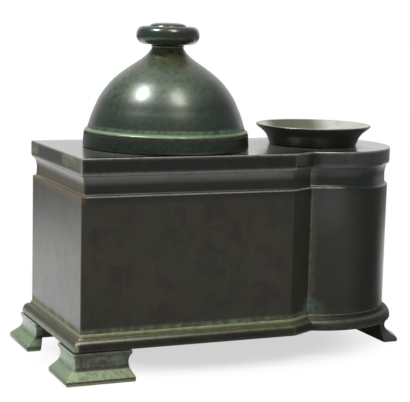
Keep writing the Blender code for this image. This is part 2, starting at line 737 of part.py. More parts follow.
def make_lid_dome(material):
    """Collar, ledge, bell-shaped dome and neck, hollow below the crown that carries the knob's stud."""
    curve = dome_curve()
    collar_top = LID_RADIUS - LID_COLLAR_TAPER
    bore = STUD_RADIUS + SLIP_FIT
    crown = LID_HEIGHT - LID_CROWN_DEPTH
    outline = [(LID_RADIUS, SEAT_GAP), (collar_top, LID_COLLAR_HEIGHT)]
    outline.append((collar_top - LID_COLLAR_TAPER, LID_COLLAR_HEIGHT + LID_LEDGE_RISE))
    outline += curve
    outline += [(bore, LID_HEIGHT), (bore, crown), (LID_CROWN_RADIUS, crown)]
    for radius, height in reversed(offset_inwards(curve, LID_WALL)):
        if height < crown and radius > LID_CROWN_RADIUS:
            outline.append((radius, height))
    outline += [(LID_INNER_RADIUS, LID_COLLAR_HEIGHT), (LID_INNER_RADIUS, SEAT_GAP)]
    mesh = turned_mesh("lid_dome", outline, LID_STEPS, closed=True)
    return link_object("lid_dome", mesh, material, (LID_X, 0.0, SLAB_TOP))


def make_lid_knob(material):
    stud_length = LID_CROWN_DEPTH + SEAT_GAP + WASHER_THICKNESS + SEAT_GAP + NUT_HEIGHT + STUD_END
    outline = [(0.0, -stud_length), (STUD_RADIUS, -stud_length), (STUD_RADIUS, 0.0)]
    outline += [(KNOB_RADIUS * radius, KNOB_HEIGHT * height) for radius, height in KNOB_SHARES]
    outline.append((0.0, KNOB_HEIGHT))
    mesh = turned_mesh("lid_knob", outline, KNOB_STEPS)
    return link_object("lid_knob", mesh, material, (LID_X, 0.0, SLAB_TOP + LID_HEIGHT + SEAT_GAP))


def ring_mesh(name, inner, outer, bottom, top, steps):
    outline = ((outer, top), (outer, bottom), (inner, bottom), (inner, top))
    return turned_mesh(name, outline, steps, closed=True)


def crown_height():
    return SLAB_TOP + LID_HEIGHT - LID_CROWN_DEPTH


def make_lid_knob_washer(material):
    bore = STUD_RADIUS + SLIP_FIT
    bottom = -SEAT_GAP - WASHER_THICKNESS
    mesh = ring_mesh("lid_knob_washer", bore, WASHER_RADIUS, bottom, -SEAT_GAP, STUD_STEPS)
    link_object("lid_knob_washer", mesh, material, (LID_X, 0.0, crown_height()))


def make_lid_knob_nut(material):
    top = -SEAT_GAP - WASHER_THICKNESS - SEAT_GAP
    bottom = top - NUT_HEIGHT
    mesh = pegs_mesh("lid_knob_nut", [(0.0, 0.0, bottom, top)], NUT_ACROSS_CORNERS / 2, NUT_SIDES)
    nut = link_object("lid_knob_nut", mesh, material, (LID_X, 0.0, crown_height()))
    peg = (LID_X, 0.0, crown_height() + bottom - CUT_OVERRUN, crown_height() + top + CUT_OVERRUN)
    bore = pegs_mesh("nut_bore", [peg], STUD_RADIUS + SLIP_FIT, STUD_STEPS)
    add_boolean(nut, "nut_bore", bore, "DIFFERENCE")


def make_ink_glass(material):
    flange_top = GLASS_FLANGE_BOTTOM + GLASS_FLANGE_THICKNESS
    floor = GLASS_FLOOR - GLASS_DEPTH
    mouth = GLASS_RADIUS - GLASS_LIP
    well = GLASS_FOOT_RADIUS - GLASS_WALL
    outline = (
        (0.0, -GLASS_DEPTH),
        (GLASS_FOOT_RADIUS - GLASS_ROUNDING, -GLASS_DEPTH),
        (GLASS_FOOT_RADIUS, GLASS_ROUNDING - GLASS_DEPTH),
        (GLASS_RADIUS, GLASS_FLANGE_BOTTOM),
        (GLASS_FLANGE_RADIUS, GLASS_FLANGE_BOTTOM),
        (GLASS_FLANGE_RADIUS, flange_top - GLASS_ROUNDING),
        (GLASS_FLANGE_RADIUS - GLASS_ROUNDING, flange_top),
        (mouth + GLASS_ROUNDING, flange_top),
        (mouth, flange_top - GLASS_ROUNDING),
        (well, floor + GLASS_CORNER),
        (well - GLASS_CORNER, floor),
        (0.0, floor),
    )
    mesh = turned_mesh("ink_glass", outline, GLASS_STEPS)
    link_object("ink_glass", mesh, material, (LID_X, 0.0, SLAB_TOP))


def make_ink_seat_washer(material):
    inner = GLASS_RADIUS + GLASS_HOLE_SLIP + SLIP_FIT
    outer = RING_INNER_RADIUS - SEAT_WASHER_MARGIN
    top = SEAT_GAP + SEAT_WASHER_THICKNESS
    mesh = ring_mesh("ink_seat_washer", inner, outer, SEAT_GAP, top, GLASS_STEPS)
    link_object("ink_seat_washer", mesh, material, (LID_X, 0.0, SLAB_TOP))


def make_lid_locating_ring(material):
    top = SEAT_GAP + LOCATING_RING_HEIGHT
    mesh = ring_mesh("lid_locating_ring", RING_INNER_RADIUS, RING_RADIUS, SEAT_GAP, top, LID_STEPS)
    link_object("lid_locating_ring", mesh, material, (LID_X, 0.0, SLAB_TOP))


def make_pen_cup_mouth(material):
    neck_bottom = TUBE_TOP - NECK_SOCKET - SLAB_TOP
    outline = [(NECK_RADIUS, SEAT_GAP)]
    for radius, height in CUP_OUTER_SHARES:
        outline.append((CUP_RADIUS * radius, max(SEAT_GAP, CUP_HEIGHT * height)))
    outline += [(CUP_RADIUS * radius, CUP_HEIGHT * height) for radius, height in CUP_INNER_SHARES]
    outline.append((CUP_RADIUS * CUP_THROAT_SHARE, -CUP_HEIGHT * CUP_THROAT_DROP_SHARE))
    outline.append((NECK_BORE_RADIUS, -SLAB_THICKNESS))
    outline += [(NECK_BORE_RADIUS, neck_bottom), (NECK_RADIUS, neck_bottom)]
    mesh = turned_mesh("pen_cup_mouth", outline, CUP_STEPS, closed=True)
    link_object("pen_cup_mouth", mesh, material, (CUP_X, 0.0, SLAB_TOP))


def make_pen_cup_ring_nut(material):
    outer = NECK_HOLE_RADIUS + RING_NUT_WALL
    mesh = ring_mesh("pen_cup_ring_nut", NECK_HOLE_RADIUS, outer, -RING_NUT_HEIGHT, 0.0, CUP_STEPS)
    link_object("pen_cup_ring_nut", mesh, material, (CUP_X, 0.0, SLAB_BOTTOM - SEAT_GAP))


def make_pen_well_tube(material):
    length = TUBE_TOP - TUBE_BOTTOM
    outline = (
        (0.0, 0.0),
        (TUBE_RADIUS, 0.0),
        (TUBE_RADIUS, length),
        (NECK_HOLE_RADIUS, length),
        (NECK_HOLE_RADIUS, TUBE_WALL),
        (0.0, TUBE_WALL),
    )
    mesh = turned_mesh("pen_well_tube", outline, TUBE_STEPS)
    link_object("pen_well_tube", mesh, material, (CUP_X, 0.0, TUBE_BOTTOM))


def make_pen_well_cork(material):
    bottom = TUBE_WALL + SEAT_GAP
    peg = (0.0, 0.0, bottom, bottom + CORK_THICKNESS)
    mesh = pegs_mesh("pen_well_cork", [peg], NECK_HOLE_RADIUS - SLIP_FIT, TUBE_STEPS)
    link_object("pen_well_cork", mesh, material, (CUP_X, 0.0, TUBE_BOTTOM))


def build_inkstand():
    clear_scene()
    frame = bpy.data.objects.new("inkstand_frame", None)
    bpy.context.scene.collection.objects.link(frame)
    frame.location = (-CASE_CENTRE_X, 0.0, 0.0)

    bronze = patinated_bronze()
    green = green_bronze()
    brass = aged_brass()
    steel = screw_steel()

    make_body_wall(bronze)
    make_top_plate(bronze)
    make_base_moulding(bronze)
    make_base_plate(bronze)
    make_corner_foot("foot_front_left", -1, FRONT_FOOT_LENGTH, FRONT_FOOT_RETURN, green)
    make_corner_foot("foot_back_left", 1, BACK_FOOT_LENGTH, BACK_FOOT_RETURN, green)
    make_round_foot(green)
    make_foot_screws(steel)
    make_base_plate_screws(steel)
    make_top_plate_screws(steel)
    make_lid_dome(green)
    make_lid_knob(bronze)
    make_lid_knob_washer(steel)
    make_lid_knob_nut(steel)
    make_lid_locating_ring(brass)
    make_ink_seat_washer(seat_leather())
    make_ink_glass(clear_glass())
    make_pen_cup_mouth(bronze)
    make_pen_cup_ring_nut(brass)
    make_pen_well_tube(brass)
    make_pen_well_cork(well_cork())


build_inkstand()
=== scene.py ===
"""The bronze desk inkstand's finished surfaces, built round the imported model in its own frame."""

import math

import bmesh
import bpy
import numpy as np
from mathutils import Matrix, Vector


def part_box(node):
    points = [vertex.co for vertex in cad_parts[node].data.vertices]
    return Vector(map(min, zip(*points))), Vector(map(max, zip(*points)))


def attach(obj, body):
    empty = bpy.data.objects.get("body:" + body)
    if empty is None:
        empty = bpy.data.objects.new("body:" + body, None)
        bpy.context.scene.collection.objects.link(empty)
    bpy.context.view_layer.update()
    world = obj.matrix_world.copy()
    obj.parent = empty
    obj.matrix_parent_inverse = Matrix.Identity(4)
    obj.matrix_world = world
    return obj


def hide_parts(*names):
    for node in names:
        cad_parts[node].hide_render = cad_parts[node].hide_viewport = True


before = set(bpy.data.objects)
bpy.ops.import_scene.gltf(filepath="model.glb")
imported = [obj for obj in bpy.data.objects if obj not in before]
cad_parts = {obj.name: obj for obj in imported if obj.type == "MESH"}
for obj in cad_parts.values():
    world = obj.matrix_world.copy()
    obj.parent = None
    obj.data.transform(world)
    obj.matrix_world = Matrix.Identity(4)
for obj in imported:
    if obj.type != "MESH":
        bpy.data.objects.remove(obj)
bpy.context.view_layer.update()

MM = 0.001
WELD_DISTANCE = 0.0005 * MM
SHARP_ANGLE = math.radians(38)

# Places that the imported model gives
SLAB_LOW, SLAB_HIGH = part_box("top_plate")
WALL_LOW, WALL_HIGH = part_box("body_wall")
MOULDING_LOW, MOULDING_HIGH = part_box("base_moulding")
FOOT_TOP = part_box("foot_front_left")[1].z
FOOT_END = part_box("foot_round_end")[1].x
LID_LOW, LID_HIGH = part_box("lid_dome")
KNOB_LOW, KNOB_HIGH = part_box("lid_knob")
CUP_LOW, CUP_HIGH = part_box("pen_cup_mouth")
GLASS_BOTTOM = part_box("ink_glass")[0].z
SLAB_TOP = SLAB_HIGH.z
SLAB_BOTTOM = SLAB_LOW.z
CASE_LEFT = SLAB_LOW.x
CASE_HALF_WIDTH = SLAB_HIGH.y
LID_X = (LID_LOW.x + LID_HIGH.x) / 2
CUP_X = (CUP_LOW.x + CUP_HIGH.x) / 2
LID_RADIUS = LID_HIGH.y

# Plan of the case
CASE_STRAIGHT = 90.0 * MM
CHAMFER_ANGLE = math.radians(29.3)
ROUND_END_RADIUS = 31.9 * MM
ROUND_END_X = SLAB_HIGH.x - ROUND_END_RADIUS
CORNER_STEPS = 4
ROUND_END_STEPS = 44
FINEST_STEP = 0.45 * MM
LONGEST_STEP = 4.0 * MM
STEP_GROWTH = 1.6

# Wall, with the hollow neck that runs out softly at its lower arris
WALL_INSET = 0.6 * MM
WALL_THICKNESS = 3.4 * MM
INNER_INSET = WALL_INSET + WALL_THICKNESS
WALL_CORNER = 0.55 * MM
COVE_DEPTH = 1.9 * MM
COVE_HEIGHT = 8.65 * MM
COVE_ROUND_HEIGHT = 9.8 * MM
COVE_STRETCH = COVE_ROUND_HEIGHT / COVE_HEIGHT - 1.0
COVE_START = 0.1 * MM
STRETCH_FROM, STRETCH_FULL = 39.0 * MM, 49.0 * MM
COVE_STEPS = 4
COVE_SHARES = (
    (0.03, 0.10), (0.07, 0.33), (0.17, 0.67), (0.33, 0.90), (0.50, 1.00), (0.66, 0.99), (0.81, 0.965),
    (0.89, 0.91), (0.935, 0.81), (0.96, 0.66), (0.975, 0.49), (0.985, 0.36), (1.00, 0.318),
    (1.02, 0.3158), (1.12, 0.3158),
)
SEAT_SLIP = 0.03 * MM

# Slab
SLAB_CORNER = 0.6 * MM
SLAB_EDGE = 0.40 * MM
SLAB_EDGE_STEPS = 4
SLAB_LIP = 0.60 * MM
SLAB_LIP_WIDTH = 2.6 * MM
SLAB_UNDER_INSET = 0.50 * MM
SLAB_UNDER_HEIGHT = 1.70 * MM
SLAB_UNDER_STEPS = 7
SLAB_UNDER_FLAT = 0.5 * MM
SLAB_TOP_SHARES = (1.7, 2.6, 4.0, 7.0)

# Base moulding
MOULDING_OVERHANG = 3.5 * MM
MOULDING_LEDGE = 2.2 * MM
MOULDING_CORNER = 1.6 * MM
MOULDING_STEPS = 3
MOULDING_RETURN_SHARE = 0.45
MOULDING_SHARES = (
    (0.03, 1.000), (0.07, 0.980), (0.12, 0.910), (0.18, 0.805), (0.24, 0.730), (0.31, 0.695),
    (0.42, 0.675), (0.54, 0.655), (0.66, 0.610), (0.77, 0.540), (0.86, 0.455), (0.93, 0.360),
    (0.98, 0.270), (1.00, 0.190), (0.995, 0.120), (0.97, 0.060), (0.93, 0.020), (0.88, 0.000),
)
EDGE_INSET = WALL_INSET - MOULDING_OVERHANG

# Feet
FOOT_FLARE = 4.0 * MM
FOOT_END_RETURN = 1.35 * MM
FOOT_LEG = 4.5 * MM
FOOT_LEG_TAPER_SHARE = 0.42
FOOT_WEB = 2.5 * MM
FOOT_EDGE = 0.28 * MM
FOOT_EDGE_STEPS = 3
FOOT_STEPS = 4
FRONT_FOOT_LENGTH = 20.5 * MM
FRONT_FOOT_RETURN = 16.9 * MM
BACK_FOOT_LENGTH = 20.5 * MM
BACK_FOOT_RETURN = 19.9 * MM
CORNER_FOOT_SHARES = (
    (0.00, 0.92, 0.15), (0.03, 1.00, 0.20), (0.09, 1.00, 0.20), (0.15, 1.00, 0.20), (0.18, 0.95, 0.12),
    (0.23, 0.83, -0.10), (0.30, 0.62, -0.45), (0.38, 0.38, -0.75), (0.46, 0.16, -0.95),
    (0.55, 0.02, -1.00), (0.65, -0.07, -0.95), (0.77, -0.06, -0.70), (0.87, 0.00, -0.15),
    (0.89, 0.08, -0.02), (0.92, 0.09, 0.00), (1.00, 0.09, 0.00),
)
ROUND_FOOT_DEPTH = 8.6 * MM
ROUND_FOOT_DEPTH_SHARE = 0.73
ROUND_FOOT_HALF_LENGTH = 16.6 * MM
ROUND_FOOT_ARC_STEPS = 24
ROUND_FOOT_SHARES = (
    (0.00, 0.93, 0.15), (0.03, 1.00, 0.20), (0.10, 1.00, 0.20), (0.14, 0.92, 0.10), (0.19, 0.75, -0.10),
    (0.28, 0.32, -0.45), (0.38, 0.00, -0.80), (0.46, -0.23, -1.00), (0.55, -0.40, -1.00),
    (0.66, -0.47, -0.95), (0.77, -0.42, -0.70), (0.88, -0.26, -0.25), (0.95, -0.08, 0.00),
    (1.00, 0.03, 0.00),
)

# Screws and their bosses
SCREW_RADIUS = 1.5 * MM
SCREW_HOLE_RADIUS = 1.8 * MM
SCREW_HEAD_RADIUS = 2.9 * MM
SCREW_HEAD_HEIGHT = 1.6 * MM
SCREW_CHAMFER = 0.25 * MM
SCREW_SLOT_WIDTH = 0.8 * MM
SCREW_SLOT_DEPTH = 0.8 * MM
SCREW_STEPS = 28
SCREW_GROUPS = (
    ("foot_screws", "foot_screw", 3),
    ("plate_screws", "base_plate_screw", 5),
    ("slab_screws", "top_plate_screw", 7),
)
BOSS_SIZE = 15.0 * MM
BOSS_HEIGHT = 8.5 * MM
BOSS_BACKING = 1.0 * MM
BOSS_WALL = 1.2 * MM
SIDE_BOSS_LENGTH = 10.0 * MM
SIDE_BOSS_DEPTH = 8.5 * MM
TOP_LUG_HEIGHT = 6.0 * MM
CUT_OVERRUN = 2.0 * MM
HOLE_FLOOR = 5.3 * MM
TOP_HOLE_DEPTH = 3.8 * MM

# Turned pieces
LID_STEPS = 144
KNOB_STEPS = 96
CUP_STEPS = 128
GLASS_STEPS = 96
RING_STEPS = 96
CURVE_STEPS = 4
LID_WALL = 2.7 * MM
LID_CROWN_DEPTH = 10.4 * MM
LID_CROWN_RADIUS = 9.5 * MM
LID_FOOT_RISE = 0.3 * MM
LID_FOOT_WIDTH = 1.4 * MM
COLLAR_TOP = 6.6 * MM
STUD_RADIUS = 2.5 * MM
STUD_SLIP = 0.3 * MM
GLASS_HOLE_RADIUS = 25.3 * MM
NECK_HOLE_RADIUS = 16.3 * MM
LOCATING_RING_INNER = 29.8 * MM
LOCATING_RING_EDGE = 0.2 * MM
SEAT_INNER = 25.6 * MM
RING_EDGE = 0.3 * MM
CORK_EDGE = 0.4 * MM

# Wear marking
WEAR_START = math.radians(10)
WEAR_FULL = math.radians(38)
WEAR_SPREAD = 0.24 * MM
WEAR_ROUNDS = 8


class Socket:
    """One node output; arithmetic on it adds Math nodes."""

    def __init__(self, graph, socket):
        self.graph = graph
        self.socket = socket

    def __add__(self, other):
        return self.graph.math("ADD", self, other)

    def __radd__(self, other):
        return self.graph.math("ADD", other, self)

    def __sub__(self, other):
        return self.graph.math("SUBTRACT", self, other)

    def __rsub__(self, other):
        return self.graph.math("SUBTRACT", other, self)

    def __mul__(self, other):
        return self.graph.math("MULTIPLY", self, other)

    def __rmul__(self, other):
        return self.graph.math("MULTIPLY", other, self)

    def __truediv__(self, other):
        return self.graph.math("DIVIDE", self, other)


def socket_named(sockets, key):
    if isinstance(key, int):
        return sockets[key]
    return next(socket for socket in sockets if socket.identifier == key)


class Graph:
    """A node tree and the few ways in which nodes are added to it."""

    def __init__(self, tree):
        self.tree = tree

    def node(self, kind, settings=None, sockets=None, output=0):
        made = self.tree.nodes.new(kind)
        for key, value in (settings or {}).items():
            if key == "stops":
                set_stops(made.color_ramp, value)
            else:
                setattr(made, key, value)
        for key, value in (sockets or {}).items():
            self.feed(value, socket_named(made.inputs, key))
        return Socket(self, socket_named(made.outputs, output)) if made.outputs else made

    def feed(self, value, target):
        if isinstance(value, Socket):
            self.tree.links.new(value.socket, target)
        else:
            target.default_value = value

    def math(self, operation, *values):
        return self.node("ShaderNodeMath", {"operation": operation}, dict(enumerate(values)))

    def other_output(self, made, output):
        return Socket(self, socket_named(made.socket.node.outputs, output))

    def step(self, value, start, end, low=0.0, high=1.0):
        """A soft step: low until start, high from end on."""
        sockets = {"Value": value, 1: start, 2: end, 3: low, 4: high}
        return self.node("ShaderNodeMapRange", {"interpolation_type": "SMOOTHSTEP"}, sockets, "Result")


def set_stops(ramp, stops):
    while len(ramp.elements) > 1:
        ramp.elements.remove(ramp.elements[-1])
    ramp.elements[0].position = stops[0][0]
    ramp.elements[0].color = stops[0][1]
    for place, colour in stops[1:]:
        ramp.elements.new(place).color = colour


class Finish(Graph):
    """A material: the Principled shader of one surface and the patterns that feed it."""

    def __init__(self, name):
        self.material = bpy.data.materials.new(name)
        self.material.use_nodes = True
        super().__init__(self.material.node_tree)
        self.shader = self.tree.nodes["Principled BSDF"]
        self.place = self.node("ShaderNodeTexCoord", output="Object")
        parts = self.node("ShaderNodeSeparateXYZ", sockets={"Vector": self.place}, output="X")
        self.x = parts
        self.y = self.other_output(parts, "Y")
        self.z = self.other_output(parts, "Z")

    def put(self, name, value):
        self.feed(value, self.shader.inputs[name])

    def colour_mix(self, factor, first, second):
        sockets = {"Factor_Float": factor, "A_Color": first, "B_Color": second}
        return self.node("ShaderNodeMix", {"data_type": "RGBA"}, sockets, "Result_Color")

    def lay(self, factor, tint):
        """Lays a tint over the colour so far, as strongly as the factor says."""
        self.colour = self.colour_mix(factor, self.colour, tint)

    def mottle(self, pattern, start, end, strength, tint):
        """Lays a tint where a pattern goes from start to end."""
        self.lay(self.step(pattern, start, end) * strength, tint)

    def done(self, roughness, metallic, normal):
        """The material, with its colour and these three fed to the shader."""
        inputs = {"Base Color": self.colour, "Roughness": roughness, "Metallic": metallic, "Normal": normal}
        for name, value in inputs.items():
            self.put(name, value)
        return self.material

    def vector(self, operation, *values, output="Vector"):
        return self.node("ShaderNodeVectorMath", {"operation": operation}, dict(enumerate(values)), output)

    def ramp(self, value, start, end, low=0.0, high=1.0, base=0.0):
        """A soft step between two places, in millimetres from the base."""
        return self.step(value, base + start * MM, base + end * MM, low, high)

    def band(self, value, centre, half_width, softness, base=0.0):
        """One round the centre, falling to zero over the softness, in millimetres from the base."""
        distance = self.math("ABSOLUTE", value - (base + centre * MM))
        return self.step(distance, half_width * MM, (half_width + softness) * MM, 1.0, 0.0)

    def noise(self, size, detail=3.0, roughness=0.55, distortion=0.0, stretch=None):
        """Fractal noise with features of a size in millimetres; stretch squeezes it along the axes."""
        place = self.place if stretch is None else self.vector("MULTIPLY", self.place, stretch)
        sockets = {
            "Vector": place,
            "Scale": 1.0 / (size * MM),
            "Detail": detail,
            "Roughness": roughness,
            "Distortion": distortion,
        }
        return self.node("ShaderNodeTexNoise", {}, sockets, "Fac")

    def cells(self, size):
        """Distance to the nearest of points scattered a size in millimetres apart, and each cell's chance."""
        sockets = {"Vector": self.place, "Scale": 1.0 / (size * MM)}
        cell = self.node("ShaderNodeTexVoronoi", {}, sockets, "Distance")
        tint = self.other_output(cell, "Color")
        return cell, self.node("ShaderNodeSeparateColor", {}, {"Color": tint}, "Red")

    def pits(self, size, radius_share, keep):
        """Round specks: about the kept share of the cells holds one."""
        cell, chance = self.cells(size)
        return self.step(cell, 0.0, radius_share, 1.0, 0.0) * self.step(chance, keep, keep + 0.02, 1.0, 0.0)

    def grains(self, cloud, fleck, speck, roughness=0.6, distortion=0.6):
        """Clouds, flecks and specks of these sizes in millimetres; the last two shape the clouds."""
        clouds = self.noise(cloud, 4.0, roughness, distortion)
        return clouds, self.noise(fleck, 3.0, 0.6, 0.3), self.noise(speck, 3.0, 0.7)

    def hairlines(self):
        """Sparse fine scratches that run several ways over the surface."""
        thin = None
        for stretch in ((1.0, 0.06, 0.9), (0.07, 1.0, 0.5), (0.9, 0.5, 0.08)):
            lines = self.step(self.noise(0.35, 1.0, 0.5, 0.4, stretch), 0.70, 0.78)
            thin = lines if thin is None else self.math("MAXIMUM", thin, lines)
        return thin * self.step(self.noise(9, 2.0, 0.5), 0.50, 0.62)

    def attribute(self, name):
        return self.node("ShaderNodeAttribute", {"attribute_name": name}, output="Fac")

    def facing(self):
        """The way that the surface faces."""
        return self.node("ShaderNodeTexCoord", output="Normal")

    def near(self, point, reach, softness):
        """One near a point, falling to zero over the softness."""
        distance = self.vector("DISTANCE", self.place, point, output="Value")
        return self.step(distance, reach, reach + softness, 1.0, 0.0)

    def relief(self, height, distance, strength=1.0, below=None):
        sockets = {"Strength": strength, "Distance": distance, "Height": height}
        if below is not None:
            sockets["Normal"] = below
        return self.node("ShaderNodeBump", {}, sockets, "Normal")


def catmull_rom(t, before, start, end, after):
    slope = end - before
    bend = 2 * before - 5 * start + 4 * end - after
    twist = 3 * start - before - 3 * end + after
    return start + 0.5 * t * (slope + t * (bend + t * twist))


def curve_through(points, steps):
    """A smooth run through the points, by Catmull-Rom pieces."""
    run = []
    last = len(points) - 1
    for i in range(last):
        four = (points[max(i - 1, 0)], points[i], points[i + 1], points[min(i + 2, last)])
        for k in range(steps):
            run.append(tuple(catmull_rom(k / steps, *values) for values in zip(*four)))
    run.append(tuple(points[-1]))
    return run


def offset_inwards(points, distance):
    """An outline that climbs towards the axis, moved towards the inside by the distance."""
    moved = []
    for i in range(1, len(points) - 1):
        run = points[i + 1][0] - points[i - 1][0]
        rise = points[i + 1][1] - points[i - 1][1]
        length = math.hypot(run, rise)
        moved.append((points[i][0] - distance * rise / length, points[i][1] + distance * run / length))
    return moved


def closing_in(length):
    """Shares along a straight run, close together at its end."""
    step, place, places = FINEST_STEP, 0.0, []
    while place + step < length:
        place += step
        places.append(1 - place / length)
        step = min(step * STEP_GROWTH, LONGEST_STEP)
    return places[::-1]


def graded(length):
    """Shares along a straight run, close together at both ends."""
    last = [0.5 + share / 2 for share in closing_in(length / 2)]
    return [*(1 - share for share in reversed(last)), 0.5, *last]


def along(start, end, shares):
    return [tuple(a + (b - a) * share for a, b in zip(start, end)) for share in shares]


def softened(corner, before, after, radius, steps):
    """A corner of a plan drawn as a small curve; before and after are the directions in and out."""
    turn = math.acos(max(-1.0, min(1.0, before[0] * after[0] + before[1] * after[1])))
    reach = radius * math.tan(turn / 2)
    first = (corner[0] - before[0] * reach, corner[1] - before[1] * reach)
    last = (corner[0] + after[0] * reach, corner[1] + after[1] * reach)
    points = []
    for i in range(steps + 1):
        t = i / steps
        weights = ((1 - t) ** 2, 2 * t * (1 - t), t**2)
        places = zip(first, corner, last)
        points.append(tuple(sum(w * value for w, value in zip(weights, values)) for values in places))
    return points


def notch_of(inset):
    """The chamfer's start, the notch where it meets the round end, and the notch's angle there."""
    across, forth = math.sin(CHAMFER_ANGLE), math.cos(CHAMFER_ANGLE)
    radius = ROUND_END_RADIUS - inset
    edge_x = CASE_LEFT + CASE_STRAIGHT - inset * across
    edge_y = -CASE_HALF_WIDTH + inset * forth
    to_side = (inset - CASE_HALF_WIDTH - edge_y) / across
    start = (edge_x + to_side * forth, inset - CASE_HALF_WIDTH)
    from_centre = edge_x - ROUND_END_X
    middle = from_centre * forth + edge_y * across
    reach = -middle - math.sqrt(middle**2 - from_centre**2 - edge_y**2 + radius**2)
    notch = (edge_x + reach * forth, edge_y + reach * across)
    return start, notch, math.atan2(notch[1], notch[0] - ROUND_END_X)


END_SHARES = closing_in(CASE_HALF_WIDTH)
SIDE_SHARES = graded(CASE_STRAIGHT)
CHAMFER_SHARES = graded(math.dist(*notch_of(0.0)[:2]))


def case_ring(inset, height, corner_radius):
    """Plan of the case moved inwards from the slab's edge, as a ring of points at one height."""
    start, notch, angle = notch_of(inset)
    radius = ROUND_END_RADIUS - inset
    left = CASE_LEFT + inset
    corner = (left, inset - CASE_HALF_WIDTH)
    chamfer = (math.cos(CHAMFER_ANGLE), math.sin(CHAMFER_ANGLE))
    tangent = (-math.sin(angle), math.cos(angle))
    at_corner = softened(corner, (0, -1), (1, 0), corner_radius, CORNER_STEPS)
    at_start = softened(start, (1, 0), chamfer, 2 * corner_radius, CORNER_STEPS)
    at_notch = softened(notch, chamfer, tangent, corner_radius, CORNER_STEPS)
    middle = (left, 0.0)
    half = along(middle, at_corner[0], END_SHARES) + at_corner
    half += along(at_corner[-1], at_start[0], SIDE_SHARES) + at_start
    half += along(at_start[-1], at_notch[0], CHAMFER_SHARES) + at_notch
    begin = math.atan2(at_notch[-1][1], at_notch[-1][0] - ROUND_END_X)
    for i in range(1, ROUND_END_STEPS // 2):
        turned_by = begin * (1 - 2 * i / ROUND_END_STEPS)
        half.append((ROUND_END_X + radius * math.cos(turned_by), radius * math.sin(turned_by)))
    tip = (ROUND_END_X + radius, 0.0)
    back = [(x, -y) for x, y in reversed(half)]
    return [(x, y, height) for x, y in (middle, *half, tip, *back)]


def rounded_plan(corners, radius, steps):
    """A closed plan of straight runs with every corner softened."""
    plan = []
    count = len(corners)
    for i, corner in enumerate(corners):
        before = Vector(corner) - Vector(corners[i - 1])
        after = Vector(corners[(i + 1) % count]) - Vector(corner)
        plan += softened(corner, tuple(before.normalized()), tuple(after.normalized()), radius, steps)
    return plan


def skin(name, sections, closed=False):
    """Mesh through a stack of point rings, capped at both ends, or joined end to end when closed."""
    bm = bmesh.new()
    rings = [[bm.verts.new(point) for point in section] for section in sections]
    pairs = list(zip(rings, rings[1:]))
    if closed:
        pairs.append((rings[-1], rings[0]))
    for low, high in pairs:
        for i, corner in enumerate(low):
            j = (i + 1) % len(low)
            bm.faces.new((corner, low[j], high[j], high[i]))
    if not closed:
        bm.faces.new(rings[0])
        bm.faces.new(rings[-1])
    return cleaned(name, bm)


def cleaned(name, bm):
    """Mesh of a bmesh with its doubles merged and its faces turned outwards."""
    bmesh.ops.remove_doubles(bm, verts=bm.verts, dist=WELD_DISTANCE)
    bmesh.ops.recalc_face_normals(bm, faces=bm.faces)
    if bm.calc_volume(signed=True) < 0.0:
        bmesh.ops.reverse_faces(bm, faces=bm.faces)
    mesh = bpy.data.meshes.new(name)
    bm.to_mesh(mesh)
    bm.free()
    return mesh


def blocks_mesh(name, boxes):
    bm = bmesh.new()
    for low, high in boxes:
        corners = bmesh.ops.create_cube(bm, size=1.0)["verts"]
        for corner in corners:
            corner.co = [(a + b) / 2 + (b - a) * side for a, b, side in zip(low, high, corner.co)]
    return cleaned(name, bm)


def pegs_mesh(name, pegs, steps):
    """Upright cylinders, each from (x, y, bottom, top, radius)."""
    bm = bmesh.new()
    for x, y, bottom, top, radius in pegs:
        made = bmesh.ops.create_cone(
            bm, cap_ends=True, segments=steps, radius1=radius, radius2=radius, depth=top - bottom
        )
        bmesh.ops.translate(bm, verts=made["verts"], vec=(x, y, (bottom + top) / 2))
    return cleaned(name, bm)


def linked(name, mesh):
    made = bpy.data.objects.new(name, mesh)
    bpy.context.scene.collection.objects.link(made)
    return made


def settled(obj):
    """A plain mesh of the object with its modifiers worked in, which takes the object's place."""
    graph = bpy.context.evaluated_depsgraph_get()
    mesh = bpy.data.meshes.new_from_object(obj.evaluated_get(graph))
    name = obj.name
    obj.modifiers.clear()
    bm = bmesh.new()
    bm.from_mesh(mesh)
    bpy.data.objects.remove(obj, do_unlink=True)
    return linked(name, cleaned(name, bm))


def combined(mesh, steps):
    """The mesh with each (operation, other mesh) of the steps worked in by an exact Boolean."""
    name = mesh.name
    blank = linked(name, mesh)
    helpers = []
    for operation, other in steps:
        helper = linked(other.name, other)
        helper.hide_render = True
        helpers.append(helper)
        modifier = blank.modifiers.new(other.name, "BOOLEAN")
        modifier.operation = operation
        modifier.solver = "EXACT"
        modifier.object = helper
    made = settled(blank)
    for helper in helpers:
        bpy.data.objects.remove(helper, do_unlink=True)
    return made


